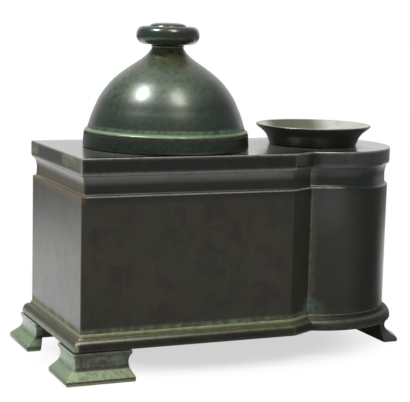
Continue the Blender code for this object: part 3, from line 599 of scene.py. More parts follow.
def mark_wear(mesh):
    """Stores how far each vertex lies on an outer edge, "arris", and in a corner, "hollow"."""
    bm = bmesh.new()
    bm.from_mesh(mesh)
    bm.verts.ensure_lookup_table()
    turn = np.zeros((2, len(bm.verts)))
    pairs, lengths = [], []
    for edge in bm.edges:
        a, b = (vert.index for vert in edge.verts)
        pairs.append((a, b))
        lengths.append(edge.calc_length())
        angle = edge.calc_face_angle_signed(0.0)
        for end in (a, b):
            turn[0 if angle > 0 else 1, end] += abs(angle)
    bm.free()
    pairs = np.array(pairs)
    fade = np.exp(-np.array(lengths) / WEAR_SPREAD)
    for name, angles in zip(("arris", "hollow"), turn):
        value = np.clip((angles - WEAR_START) / (WEAR_FULL - WEAR_START), 0.0, 1.0)
        for _ in range(WEAR_ROUNDS):
            spread = value.copy()
            np.maximum.at(spread, pairs[:, 0], value[pairs[:, 1]] * fade)
            np.maximum.at(spread, pairs[:, 1], value[pairs[:, 0]] * fade)
            value = spread
        stored = mesh.attributes.new(name, "FLOAT", "POINT")
        stored.data.foreach_set("value", value.astype(np.float32))


def finished(obj, name, material, body, nodes):
    """Gives a piece its name, wear marks and material, sets it under its body and hides the CAD nodes that it
    takes the place of.
    """
    obj.name = name
    obj.data.name = name
    mark_wear(obj.data)
    obj.data.shade_smooth()
    obj.data.set_sharp_from_angle(angle=SHARP_ANGLE)
    obj.data.materials.clear()
    obj.data.materials.append(material)
    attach(obj, body)
    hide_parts(*nodes)


class ShapeTree(Graph):
    """A Geometry Nodes tree with named inputs, ending in Realize Instances and Set Material."""

    def __init__(self, name, inputs):
        tree = bpy.data.node_groups.new(name, "GeometryNodeTree")
        super().__init__(tree)
        face = tree.interface
        face.new_socket("Geometry", in_out="OUTPUT", socket_type="NodeSocketGeometry")
        face.new_socket("Geometry", in_out="INPUT", socket_type="NodeSocketGeometry")
        for label, kind in inputs:
            face.new_socket(label, in_out="INPUT", socket_type="NodeSocket" + kind)
        face.new_socket("Material", in_out="INPUT", socket_type="NodeSocketMaterial")
        self.start = tree.nodes.new("NodeGroupInput")
        self.identifiers = {item.name: item.identifier for item in face.items_tree if item.in_out == "INPUT"}

    def given(self, label):
        return Socket(self, socket_named(self.start.outputs, self.identifiers[label]))

    def close(self, geometry):
        real = self.node("GeometryNodeRealizeInstances", sockets={0: geometry})
        sockets = {"Geometry": real, "Material": self.given("Material")}
        covered = self.node("GeometryNodeSetMaterial", sockets=sockets)
        end = self.tree.nodes.new("NodeGroupOutput")
        self.tree.links.new(covered.socket, end.inputs[0])

    def applied(self, mesh, values):
        """The plain piece that the tree makes from a mesh and the values of its named inputs."""
        obj = linked(mesh.name, mesh)
        modifier = obj.modifiers.new(self.tree.name, "NODES")
        modifier.node_group = self.tree
        for label, value in values.items():
            modifier[self.identifiers[label]] = value
        return settled(obj)


def turning_tree():
    """Turns an outline of (radius, height) points in the XZ plane round an upright axis."""
    tree = ShapeTree("turned_piece", (("Steps", "Int"), ("Axis X", "Float")))
    outline = tree.given("Geometry")
    steps = tree.given("Steps")
    rows = tree.node("GeometryNodeAttributeDomainSize", {"component": "MESH"}, {0: outline}, "Point Count")
    sheet = tree.node("GeometryNodeMeshGrid", {}, {"Vertices X": steps + 1, "Vertices Y": rows}, "Mesh")
    index = tree.node("GeometryNodeInputIndex")
    column = tree.math("FLOOR", (index + 0.5) / rows)
    row = index - column * rows
    point = tree.node(
        "GeometryNodeSampleIndex",
        {"data_type": "FLOAT_VECTOR", "domain": "POINT"},
        {"Geometry": outline, "Value": tree.node("GeometryNodeInputPosition"), "Index": row},
    )
    radius = tree.node("ShaderNodeSeparateXYZ", sockets={0: point}, output="X")
    height = tree.other_output(radius, "Z")
    angle = column * (2 * math.pi) / steps
    place = tree.node(
        "ShaderNodeCombineXYZ",
        sockets={
            "X": radius * tree.math("COSINE", angle) + tree.given("Axis X"),
            "Y": radius * tree.math("SINE", angle),
            "Z": height,
        },
    )
    turned = tree.node("GeometryNodeSetPosition", sockets={"Geometry": sheet, "Position": place})
    welded = tree.node("GeometryNodeMergeByDistance", sockets={"Geometry": turned, "Distance": WELD_DISTANCE})
    tree.close(welded)
    return tree


SCREW_SIZES = {
    "Head Radius": SCREW_HEAD_RADIUS,
    "Head Height": SCREW_HEAD_HEIGHT,
    "Chamfer": SCREW_CHAMFER,
    "Shank Radius": SCREW_RADIUS,
    "Shank Length": 0.0,
    "Slot Width": SCREW_SLOT_WIDTH,
    "Slot Depth": SCREW_SLOT_DEPTH,
}


def screw_tree():
    """Stands slotted cheese-head screws on their heads at points, each slot turned its own way."""
    inputs = [(size, "Float") for size in SCREW_SIZES]
    tree = ShapeTree("slotted_screws", [*inputs, ("Steps", "Int"), ("Seed", "Int")])
    given = {label: tree.given(label) for label in (*SCREW_SIZES, "Steps")}

    def lifted(mesh, height):
        shift = tree.node("ShaderNodeCombineXYZ", sockets={"Z": height})
        return tree.node("GeometryNodeTransform", sockets={"Geometry": mesh, "Translation": shift})

    cheese = given["Head Height"] - given["Chamfer"]
    rim = tree.node(
        "GeometryNodeMeshCone",
        {},
        {
            "Vertices": given["Steps"],
            "Radius Top": given["Head Radius"],
            "Radius Bottom": given["Head Radius"] - given["Chamfer"],
            "Depth": given["Chamfer"],
        },
        "Mesh",
    )
    head = tree.node(
        "GeometryNodeMeshCylinder",
        {},
        {"Vertices": given["Steps"], "Radius": given["Head Radius"], "Depth": cheese},
        "Mesh",
    )
    bite = given["Shank Length"] + given["Chamfer"]
    shank = tree.node(
        "GeometryNodeMeshCylinder",
        {},
        {"Vertices": given["Steps"], "Radius": given["Shank Radius"], "Depth": bite},
        "Mesh",
    )
    whole = tree.node("GeometryNodeMeshBoolean", {"operation": "UNION", "solver": "EXACT"})
    lifts = (
        lifted(rim, 0.0),
        lifted(head, given["Chamfer"] + cheese * 0.5),
        lifted(shank, given["Head Height"] - given["Chamfer"] + bite * 0.5),
    )
    for part in lifts:
        tree.tree.links.new(part.socket, whole.socket.node.inputs[1])
    size = tree.node(
        "ShaderNodeCombineXYZ",
        sockets={"X": given["Head Radius"] * 3, "Y": given["Slot Width"], "Z": given["Slot Depth"] * 2},
    )
    slot = tree.node("GeometryNodeMeshCube", {}, {"Size": size}, "Mesh")
    cut = tree.node("GeometryNodeMeshBoolean", {"operation": "DIFFERENCE", "solver": "EXACT"}, {0: whole})
    tree.tree.links.new(slot.socket, cut.socket.node.inputs[1])
    spin = tree.node(
        "FunctionNodeRandomValue",
        {"data_type": "FLOAT"},
        {"Min_001": 0.0, "Max_001": math.pi, "Seed": tree.given("Seed")},
        "Value_001",
    )
    turn = tree.node("ShaderNodeCombineXYZ", sockets={"Z": spin})
    placed = tree.node(
        "GeometryNodeInstanceOnPoints",
        sockets={"Points": tree.given("Geometry"), "Instance": cut, "Rotation": turn},
    )
    tree.close(placed)
    return tree


def screw_places():
    """Boxes of the screws, kept by the nodes that they stand for."""
    names = [f"foot_screw_{foot}_{i}" for foot in ("front_left", "back_left", "round_end") for i in (1, 2)]
    names += [f"base_plate_screw_{side}" for side in ("front", "back")]
    names += [f"top_plate_screw_{side}_{end}" for end in ("left", "right") for side in ("front", "back")]
    return {name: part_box(name) for name in names}


def centre_of(box):
    return ((box[0].x + box[1].x) / 2, (box[0].y + box[1].y) / 2)


SCREWS = screw_places()


def upright_holes(name, prefixes, bottom, top):
    """Cutters for the clearance holes of the screws whose names start with the prefixes."""
    pegs = []
    for screw, box in SCREWS.items():
        if screw.startswith(prefixes):
            pegs.append((*centre_of(box), bottom, top, SCREW_HOLE_RADIUS))
    return pegs_mesh(name, pegs, SCREW_STEPS)


def corner_boss(side):
    """Block in a left corner of the wall that takes the two screws of its foot."""
    inner_y = CASE_HALF_WIDTH - INNER_INSET
    ends = sorted((side * (inner_y + BOSS_BACKING), side * (inner_y - BOSS_SIZE)))
    left = CASE_LEFT + INNER_INSET
    low = (left - BOSS_BACKING, ends[0], WALL_LOW.z)
    return (low, (left + BOSS_SIZE, ends[1], WALL_LOW.z + BOSS_HEIGHT))


def round_end_boss():
    x, y = centre_of(SCREWS["foot_screw_round_end_2"])
    reach = SCREW_HOLE_RADIUS + BOSS_WALL
    right = ROUND_END_X + ROUND_END_RADIUS - INNER_INSET + BOSS_BACKING
    return ((x - reach, -y - reach, WALL_LOW.z), (right, y + reach, WALL_LOW.z + BOSS_HEIGHT))


def side_boss(screw, bottom, top):
    """Block on a long side of the wall, round one screw."""
    x, y = centre_of(SCREWS[screw])
    side = math.copysign(1, y)
    inner_y = CASE_HALF_WIDTH - INNER_INSET
    ends = sorted((side * (inner_y + BOSS_BACKING), side * (inner_y - SIDE_BOSS_DEPTH)))
    return ((x - SIDE_BOSS_LENGTH / 2, ends[0], bottom), (x + SIDE_BOSS_LENGTH / 2, ends[1], top))


def wall_bosses():
    boxes = [corner_boss(-1), corner_boss(1), round_end_boss()]
    for screw in SCREWS:
        if screw.startswith("base_plate"):
            boxes.append(side_boss(screw, WALL_LOW.z, WALL_LOW.z + BOSS_HEIGHT))
        elif screw.startswith("top_plate"):
            boxes.append(side_boss(screw, WALL_HIGH.z - TOP_LUG_HEIGHT, WALL_HIGH.z))
    return boxes


def stretched_cove(point, cove_top, cove_foot, wall_foot):
    """Round the round end the cove reaches lower, and the wall below it is shorter."""
    x, y, z = point
    share = min(max((x - STRETCH_FROM) / (STRETCH_FULL - STRETCH_FROM), 0.0), 1.0)
    lowered = (cove_top - cove_foot) * COVE_STRETCH * share * share * (3 - 2 * share)
    if cove_foot < z < cove_top:
        z -= lowered * (cove_top - z) / (cove_top - cove_foot)
    elif wall_foot < z <= cove_foot:
        z -= lowered * (z - wall_foot) / (cove_foot - wall_foot)
    return x, y, z


def make_case_wall(material):
    """Wall with the cove under the slab, its soft arris, and the bosses inside."""
    top = SLAB_BOTTOM - SEAT_SLIP
    cove = [(COVE_DEPTH * depth, top - COVE_HEIGHT * drop) for drop, depth in COVE_SHARES]
    hollow = [point for point in curve_through(cove, COVE_STEPS) if point[1] < top - SLAB_LIP - COVE_START]
    profile = [(INNER_INSET, top), (SLAB_LIP_WIDTH + SLAB_LIP, top)]
    profile += [(SLAB_LIP_WIDTH, top - SLAB_LIP), (hollow[0][0], top - SLAB_LIP)]
    profile += hollow
    foot = MOULDING_HIGH.z - FINEST_STEP
    drop = cove[-1][1] - foot
    profile += [(WALL_INSET, cove[-1][1] - drop * share) for share in graded(drop)]
    profile += [(WALL_INSET, foot), (WALL_INSET, WALL_LOW.z), (INNER_INSET, WALL_LOW.z)]
    sections = []
    for inset, height in profile:
        ring = case_ring(inset, height, WALL_CORNER)
        sections.append([stretched_cove(point, top - SLAB_LIP, cove[-1][1], foot) for point in ring])
    shell = skin("case_wall", sections, closed=True)
    bottom_holes = upright_holes(
        "wall_bottom_holes", ("foot_screw", "base_plate"), WALL_LOW.z - CUT_OVERRUN, WALL_LOW.z + HOLE_FLOOR
    )
    lug_bottom = WALL_HIGH.z - TOP_LUG_HEIGHT
    top_holes = upright_holes("wall_top_holes", ("top_plate",), lug_bottom - CUT_OVERRUN, top + CUT_OVERRUN)
    steps = (
        ("UNION", blocks_mesh("wall_bosses", wall_bosses())),
        ("DIFFERENCE", bottom_holes),
        ("DIFFERENCE", top_holes),
    )
    finished(combined(shell, steps), "case_wall", material, "stand", ("body_wall",))


def rounded_edge(inset, fall, height, steps):
    """Quarter of an ellipse round an edge: (inset, height) from the side into the flat at the height."""
    points = []
    for i in range(steps + 1):
        angle = math.pi / 2 * i / steps
        points.append((inset * (1 - math.cos(angle)), height - fall * (1 - math.sin(angle))))
    return points


def make_slab(material):
    """Slab with worn edges, the hole of the glass and the hole of the cup's neck."""
    low = SLAB_BOTTOM - SLAB_LIP
    profile = [(SLAB_LIP_WIDTH, SLAB_BOTTOM), (SLAB_LIP_WIDTH - SLAB_LIP, low)]
    profile += [(SLAB_UNDER_INSET + SLAB_UNDER_FLAT, low)]
    profile += rounded_edge(SLAB_UNDER_INSET, -SLAB_UNDER_HEIGHT, low, SLAB_UNDER_STEPS)[::-1]
    side = SLAB_TOP - low - SLAB_EDGE - SLAB_UNDER_HEIGHT
    profile += [(0.0, low + SLAB_UNDER_HEIGHT + side * share) for share in graded(side)]
    profile += rounded_edge(SLAB_EDGE, SLAB_EDGE, SLAB_TOP, SLAB_EDGE_STEPS)
    profile += [(share * SLAB_EDGE, SLAB_TOP) for share in SLAB_TOP_SHARES]
    rings = [case_ring(inset, height, SLAB_CORNER) for inset, height in profile]
    low, high = SLAB_BOTTOM - CUT_OVERRUN, SLAB_TOP + CUT_OVERRUN
    holes = [(LID_X, 0.0, low, high, GLASS_HOLE_RADIUS), (CUP_X, 0.0, low, high, NECK_HOLE_RADIUS)]
    steps = (
        ("DIFFERENCE", pegs_mesh("slab_holes", holes, RING_STEPS)),
        ("DIFFERENCE", upright_holes("slab_screw_holes", ("top_plate",), low, SLAB_BOTTOM + TOP_HOLE_DEPTH)),
    )
    made = combined(skin("case_slab", rings), steps)
    finished(made, "case_slab", material, "stand", ("top_plate",))


def make_moulding(material):
    """Bull nose round the foot of the wall, which turns back under itself."""
    bottom, top = MOULDING_LOW.z, MOULDING_HIGH.z
    inside = WALL_INSET - SEAT_SLIP
    profile = [(inside, top)]
    for out, high in curve_through(MOULDING_SHARES, MOULDING_STEPS):
        profile.append((WALL_INSET - MOULDING_OVERHANG * min(out, 1.0), bottom + (top - bottom) * high))
    profile += [
        (WALL_INSET - MOULDING_RETURN_SHARE * MOULDING_OVERHANG, bottom),
        (INNER_INSET, bottom),
        (INNER_INSET, bottom + MOULDING_LEDGE),
        (inside, bottom + MOULDING_LEDGE),
    ]
    rings = [case_ring(inset, height, MOULDING_CORNER) for inset, height in profile]
    made = linked("bull_nose_moulding", skin("bull_nose_moulding", rings, closed=True))
    finished(made, "bull_nose_moulding", material, "stand", ("base_moulding",))


def foot_shares(points):
    """Height, flare and end of a foot's sections, kept within the foot."""
    shares = curve_through(points, FOOT_STEPS)
    return [(max(0.0, min(1.0, height)), min(1.0, flare), end) for height, flare, end in shares]


def corner_foot_ring(height_share, flare_share, end_share, side, length, back_length):
    """L-shaped plan of a left foot at one height; the leg thins towards the desk."""
    flare = FOOT_FLARE * flare_share
    end = FOOT_END_RETURN * end_share
    leg = FOOT_LEG * (FOOT_LEG_TAPER_SHARE + (1 - FOOT_LEG_TAPER_SHARE) * height_share)
    edge_x = CASE_LEFT + EDGE_INSET
    edge_y = CASE_HALF_WIDTH - EDGE_INSET
    end_x = CASE_LEFT + length + end
    end_y = CASE_HALF_WIDTH - back_length - end
    corners = (
        (edge_x - flare, side * (edge_y + flare)),
        (end_x, side * (edge_y + flare)),
        (end_x, side * (edge_y - leg)),
        (edge_x + leg, side * (edge_y - leg)),
        (edge_x + leg, side * end_y),
        (edge_x - flare, side * end_y),
    )
    height = FOOT_TOP * height_share
    return [(x, y, height) for x, y in rounded_plan(corners, FOOT_EDGE, FOOT_EDGE_STEPS)]


def make_corner_foot(name, node, side, length, back_length, material):
    shares = foot_shares(CORNER_FOOT_SHARES)
    sections = [corner_foot_ring(*three, side, length, back_length) for three in shares]
    prefix = node.replace("foot_", "foot_screw_")
    places = sorted(centre_of(box) for screw, box in SCREWS.items() if screw.startswith(prefix))
    (inner_x, outer_y), (outer_x, inner_y) = places
    margin = SCREW_HEAD_RADIUS + STUD_SLIP
    near_x = CASE_LEFT + EDGE_INSET + FOOT_LEG / 2
    near_y = side * (CASE_HALF_WIDTH - EDGE_INSET - FOOT_LEG / 2)
    plan = (
        (near_x, near_y),
        (outer_x + margin, near_y),
        (outer_x + margin, inner_y - side * margin),
        (inner_x + margin, outer_y - side * margin),
        (near_x, outer_y - side * margin),
    )
    bottom = FOOT_TOP - FOOT_WEB
    web = skin(name + "_web", [[(x, y, height) for x, y in plan] for height in (bottom, FOOT_TOP)])
    holes = upright_holes(name + "_holes", (prefix,), bottom - CUT_OVERRUN, FOOT_TOP + CUT_OVERRUN)
    made = combined(skin(name, sections), (("UNION", web), ("DIFFERENCE", holes)))
    finished(made, name, material, "stand", (node,))


def round_foot_ring(height_share, flare_share, end_share):
    radius = ROUND_END_RADIUS - EDGE_INSET + FOOT_FLARE * flare_share
    half = ROUND_FOOT_HALF_LENGTH + FOOT_END_RETURN * end_share
    depth = ROUND_FOOT_DEPTH * (ROUND_FOOT_DEPTH_SHARE + (1 - ROUND_FOOT_DEPTH_SHARE) * height_share)
    inner_x = ROUND_END_X + ROUND_END_RADIUS - EDGE_INSET - depth
    half_angle = math.asin(half / radius)
    corner = (ROUND_END_X + radius * math.cos(half_angle), -half)
    tangent = (math.sin(half_angle), math.cos(half_angle))
    at_inner = softened((inner_x, -half), (0, -1), (1, 0), FOOT_EDGE, FOOT_EDGE_STEPS)
    at_outer = softened(corner, (1, 0), tangent, FOOT_EDGE, FOOT_EDGE_STEPS)
    begin = math.atan2(at_outer[-1][1], at_outer[-1][0] - ROUND_END_X)
    lower = at_inner + at_outer
    for i in range(1, ROUND_FOOT_ARC_STEPS // 2):
        angle = begin * (1 - 2 * i / ROUND_FOOT_ARC_STEPS)
        lower.append((ROUND_END_X + radius * math.cos(angle), radius * math.sin(angle)))
    ring = [*lower, (ROUND_END_X + radius, 0.0), *((x, -y) for x, y in reversed(lower))]
    return [(x, y, FOOT_TOP * height_share) for x, y in ring]


def make_round_foot(material):
    sections = [round_foot_ring(*three) for three in foot_shares(ROUND_FOOT_SHARES)]
    right = ROUND_END_X + ROUND_END_RADIUS - EDGE_INSET - ROUND_FOOT_DEPTH / 2
    x, y = centre_of(SCREWS["foot_screw_round_end_2"])
    reach = SCREW_HOLE_RADIUS + BOSS_WALL
    bottom = FOOT_TOP - FOOT_WEB
    web = blocks_mesh("round_web", [((x - reach, -y - reach, bottom), (right, y + reach, FOOT_TOP))])
    holes = upright_holes("round_holes", ("foot_screw_round",), bottom - CUT_OVERRUN, FOOT_TOP + CUT_OVERRUN)
    made = combined(skin("round_end_foot", sections), (("UNION", web), ("DIFFERENCE", holes)))
    finished(made, "round_end_foot", material, "stand", ("foot_round_end",))


def outline_mesh(name, points):
    """A run of (radius, height) points as edges in the XZ plane."""
    mesh = bpy.data.meshes.new(name)
    edges = [(i, i + 1) for i in range(len(points) - 1)]
    mesh.from_pydata([(radius, 0.0, height) for radius, height in points], edges, [])
    return mesh


def make_turned(tree, name, outline, axis_x, steps, material, body, node):
    """Turns a piece from a closed outline, or from one that starts and ends on the axis."""
    values = {"Steps": steps, "Axis X": axis_x, "Material": material}
    made = tree.applied(outline_mesh(name, outline), values)
    finished(made, name, material, body, (node,))


def raised(points, height):
    """An outline given in millimetres, in metres and lifted to its height."""
    return [(radius * MM, height + rise * MM) for radius, rise in points]


# Outlines in millimetres, heights from the slab's top
COLLAR_OUTLINE = (
    (33.45, 0.30), (33.75, 0.42), (33.88, 0.70), (33.86, 1.60), (33.70, 3.60), (33.56, 5.40),
    (33.53, 5.80), (33.49, 5.97), (33.36, 6.03), (33.14, 6.06), (33.06, 6.16), (33.16, 6.30),
    (33.26, 6.50), (33.27, 6.78), (33.16, 7.06), (32.90, 7.30), (32.52, 7.50),
)
DOME_OUTLINE = (
    (32.16, 7.64), (32.05, 7.90), (31.93, 8.40), (31.66, 9.30), (31.22, 10.8), (30.65, 12.6),
    (29.95, 14.5), (29.20, 16.2), (27.55, 19.8), (25.20, 23.4), (22.20, 27.0), (18.90, 29.9),
    (15.20, 32.6), (12.50, 34.4), (9.80, 36.3), (7.90, 38.1), (6.85, 39.6), (6.30, 40.5),
)
NECK_BEAD = ((6.32, 40.62), (6.60, 40.70), (6.72, 40.92), (6.66, 41.18), (6.35, 41.40))
KNOB_OUTLINE = (
    (2.50, 0.00), (9.20, 0.00), (10.6, 0.35), (11.9, 1.30), (12.6, 2.50), (12.8, 3.80), (12.65, 5.00),
    (12.1, 6.10), (11.2, 6.90), (10.1, 7.22), (9.2, 7.12), (8.5, 6.85), (8.0, 6.78), (7.65, 7.00),
    (7.30, 7.50), (6.70, 8.00), (5.40, 8.40), (3.40, 8.62), (1.50, 8.68), (0.00, 8.69),
)
CUP_OUTER = (
    (18.50, 0.30), (18.70, 0.80), (19.05, 1.80), (19.40, 2.70), (19.80, 3.60), (20.40, 4.50),
    (21.20, 5.40), (22.25, 6.30), (23.45, 7.20), (24.15, 7.78), (24.38, 8.12), (24.38, 8.42),
    (24.20, 8.64), (23.90, 8.70),
)
CUP_INNER = (
    (23.55, 8.62), (23.10, 8.25), (22.20, 7.55), (21.00, 6.70), (19.70, 5.60), (18.60, 4.40),
    (17.70, 3.00), (16.90, 1.50), (16.20, 0.10), (15.20, -1.60), (14.10, -4.00), (13.50, -6.30),
)
GLASS_OUTER = (
    (0.0, -40.0), (20.4, -40.0), (21.3, -39.85), (21.95, -39.45), (22.35, -38.8), (22.6, -37.0),
    (24.5, 0.9), (24.6, 1.6), (28.6, 1.6), (28.95, 1.75), (29.1, 2.1), (29.1, 4.6), (28.95, 5.1),
    (28.55, 5.45), (27.9, 5.6), (21.0, 5.6), (20.2, 5.45), (19.7, 5.0), (19.5, 4.4),
)
GLASS_INNER = (
    (19.3, 0.0), (17.8, -31.5), (17.4, -33.8), (16.4, -35.3), (14.6, -35.95), (11.0, -36.0), (0.0, -36.0),
)


def make_lid(tree, material):
    """Collar, ledge, bell-shaped dome and beaded neck, hollow below the crown."""
    dome = curve_through(DOME_OUTLINE, CURVE_STEPS)
    outline = raised(COLLAR_OUTLINE, SLAB_TOP) + raised(dome, SLAB_TOP) + raised(NECK_BEAD, SLAB_TOP)
    bore = STUD_RADIUS + STUD_SLIP
    crown = LID_HIGH.z - LID_CROWN_DEPTH
    outline += [(bore, outline[-1][1]), (bore, crown), (LID_CROWN_RADIUS, crown)]
    for radius, height in reversed(offset_inwards(raised(dome, SLAB_TOP), LID_WALL)):
        if SLAB_TOP + COLLAR_TOP < height < crown and LID_CROWN_RADIUS < radius:
            outline.append((radius, height))
    inner = LID_RADIUS - LID_WALL
    outline += [(inner, SLAB_TOP + COLLAR_TOP), (inner, LID_LOW.z), (LID_RADIUS - LID_FOOT_WIDTH, LID_LOW.z)]
    outline.append(outline[0])
    make_turned(tree, "lid_bell", outline, LID_X, LID_STEPS, material, "lid", "lid_dome")


def make_knob(tree, material):
    """Knob with a raised button inside a groove, in one piece with its stud."""
    seat = LID_HIGH.z + STUD_SLIP
    end = KNOB_LOW.z
    outline = [(0.0, end), (STUD_RADIUS - SCREW_CHAMFER, end), (STUD_RADIUS, end + SCREW_CHAMFER)]
    outline += raised(KNOB_OUTLINE[:1], seat) + raised(curve_through(KNOB_OUTLINE[1:], CURVE_STEPS), seat)
    name = "lid_knob_turned"
    make_turned(tree, name, outline, LID_X, KNOB_STEPS, material, "lid", "lid_knob")


def make_cup(tree, material):
    """Flared mouth of the pen well and its neck through the slab."""
    neck = NECK_HOLE_RADIUS - STUD_SLIP
    outline = [(neck, SLAB_TOP + LID_FOOT_RISE)]
    outline += raised(curve_through(CUP_OUTER, CURVE_STEPS), SLAB_TOP)
    outline += raised(curve_through(CUP_INNER, CURVE_STEPS), SLAB_TOP)
    outline += [(outline[-1][0], CUP_LOW.z), (neck, CUP_LOW.z), outline[0]]
    make_turned(tree, "pen_cup", outline, CUP_X, CUP_STEPS, material, "stand", "pen_cup_mouth")


def make_glass(tree, material):
    """Pressed glass well, hanging by its flange."""
    outline = raised(GLASS_OUTER, SLAB_TOP) + raised(GLASS_INNER, SLAB_TOP)
    name = "ink_well_glass"
    make_turned(tree, name, outline, LID_X, GLASS_STEPS, material, "ink_glass", "ink_glass")


def ring_outline(node, inner, softness):
    """Outline of a flat ring where the node stands, with softened edges."""
    low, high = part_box(node)
    outer = (high.x - low.x) / 2
    corners = ((inner, low.z), (outer, low.z), (outer, high.z), (inner, high.z))
    ring = rounded_plan(corners, softness, 2)
    return [*ring, ring[0]]


def make_ring(tree, node, inner, axis_x, softness, material):
    outline = ring_outline(node, inner, softness)
    make_turned(tree, node + "_turned", outline, axis_x, RING_STEPS, material, "stand", node)


def make_cork(tree, material):
    """Disc with soft edges at the bottom of the pen well."""
    low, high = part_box("pen_well_cork")
    radius = (high.x - low.x) / 2
    outline = [(0.0, low.z), (radius - CORK_EDGE, low.z), (radius, low.z + CORK_EDGE)]
    outline += [(radius, high.z - CORK_EDGE), (radius - CORK_EDGE, high.z), (0.0, high.z)]
    name = "pen_well_cork_disc"
    make_turned(tree, name, outline, CUP_X, RING_STEPS, material, "stand", "pen_well_cork")


def make_screws(tree, name, prefix, seed, material):
    """One group of slotted screws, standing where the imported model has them."""
    chosen = {screw: box for screw, box in SCREWS.items() if screw.startswith(prefix)}
    low, high = next(iter(chosen.values()))
    mesh = bpy.data.meshes.new(name)
    mesh.from_pydata([(*centre_of(box), low.z) for box in chosen.values()], [], [])
    own = {"Shank Length": high.z - low.z - SCREW_HEAD_HEIGHT, "Steps": SCREW_STEPS, "Seed": seed}
    made = tree.applied(mesh, {**SCREW_SIZES, **own, "Material": material})
    finished(made, name, material, "stand", tuple(chosen))


def tone(red, green, blue):
    """A colour from its everyday 0 to 255 values, as the shaders take it."""
    return (*(((value / 255 + 0.055) / 1.055) ** 2.4 for value in (red, green, blue)), 1.0)


BROWN_BLACK = tone(30, 29, 25)
WARM_BROWN = tone(50, 43, 33)
OLIVE_BROWN = tone(44, 45, 33)
OLIVE_BLACK = tone(34, 38, 29)
GREEN_BLACK = tone(20, 28, 24)
BLUE_BLACK = tone(22, 27, 32)
SLATE_GREEN = tone(40, 50, 43)
SLATE_GREY = tone(54, 58, 53)
DUSTY_SLATE = tone(42, 47, 43)
DEEP_GREEN = tone(38, 62, 46)
BRIGHT_GREEN = tone(58, 88, 64)
# Rubbed bronze for worn edges and creases, also painted as the highlight along the moulding's nose
RUBBED_AND_HIGHLIGHT_BRONZE = tone(150, 146, 132)
RUBBED_BROWN = tone(98, 88, 70)
PALE_VERDIGRIS = tone(118, 140, 102)
DRY_VERDIGRIS = tone(140, 144, 112)
MOSS_VERDIGRIS = tone(84, 112, 66)
OLIVE_VERDIGRIS = tone(92, 92, 56)
GREY_VERDIGRIS = tone(86, 96, 86)
TEAL_VERDIGRIS = tone(58, 96, 80)
RUST_FLECK = tone(92, 58, 36)
DRY_OLIVE = tone(80, 80, 58)
DARK_MOSS = tone(36, 54, 42)
# Grey painted as sheen, reflection and highlight
PAINTED_LIGHT_GREY = tone(100, 104, 102)
SAGE = tone(104, 118, 84)
WORN_OLIVE = tone(82, 70, 38)
GREEN_BRONZE = tone(112, 128, 92)
FRESH_VERDIGRIS = tone(116, 142, 108)
BRIGHT_VERDIGRIS = tone(150, 178, 146)
PALE_SAGE = tone(134, 142, 106)
# Slate grey painted as sheen
SHEEN_SLATE = tone(66, 70, 70)
# Pale ash painted as highlights on edges and along the cove's foot
HIGHLIGHT_ASH = tone(148, 150, 144)
# Pale ash painted as sheen inside the cup
PALE_SHEEN = tone(196, 198, 190)
# Near-black for dark tone, also painted as shade in folds, grooves and under edges
BLACK_TONE_AND_SHADE = tone(14, 15, 13)

NOTCH_FRONT = notch_of(0.0)[1]
PATINA_IOR = 1.45
GLASS_IOR = 1.5
WAX_IOR = 1.45
WAX_ROUGHNESS = 0.20


def coat_bronze(finish, roughness, metallic, normal, wax=0.0, ior=PATINA_IOR):
    """The material of a patinated bronze surface, under old wax as thick as wax says."""
    finish.put("IOR", ior)
    finish.put("Coat Weight", wax)
    finish.put("Coat Roughness", WAX_ROUGHNESS)
    finish.put("Coat IOR", WAX_IOR)
    return finish.done(roughness, metallic, normal)


def cast_skin(finish, grain, wave):
    """Relief of a filed and waxed casting: slow waves, a fine grain and short hairline scratches."""
    slow = finish.relief(finish.noise(22, 1.0, 0.4), wave * MM)
    fine = finish.relief(finish.noise(0.9, 3.0, 0.6), grain * MM, below=slow)
    return finish.relief(finish.hairlines(), -0.4 * grain * MM, below=fine)


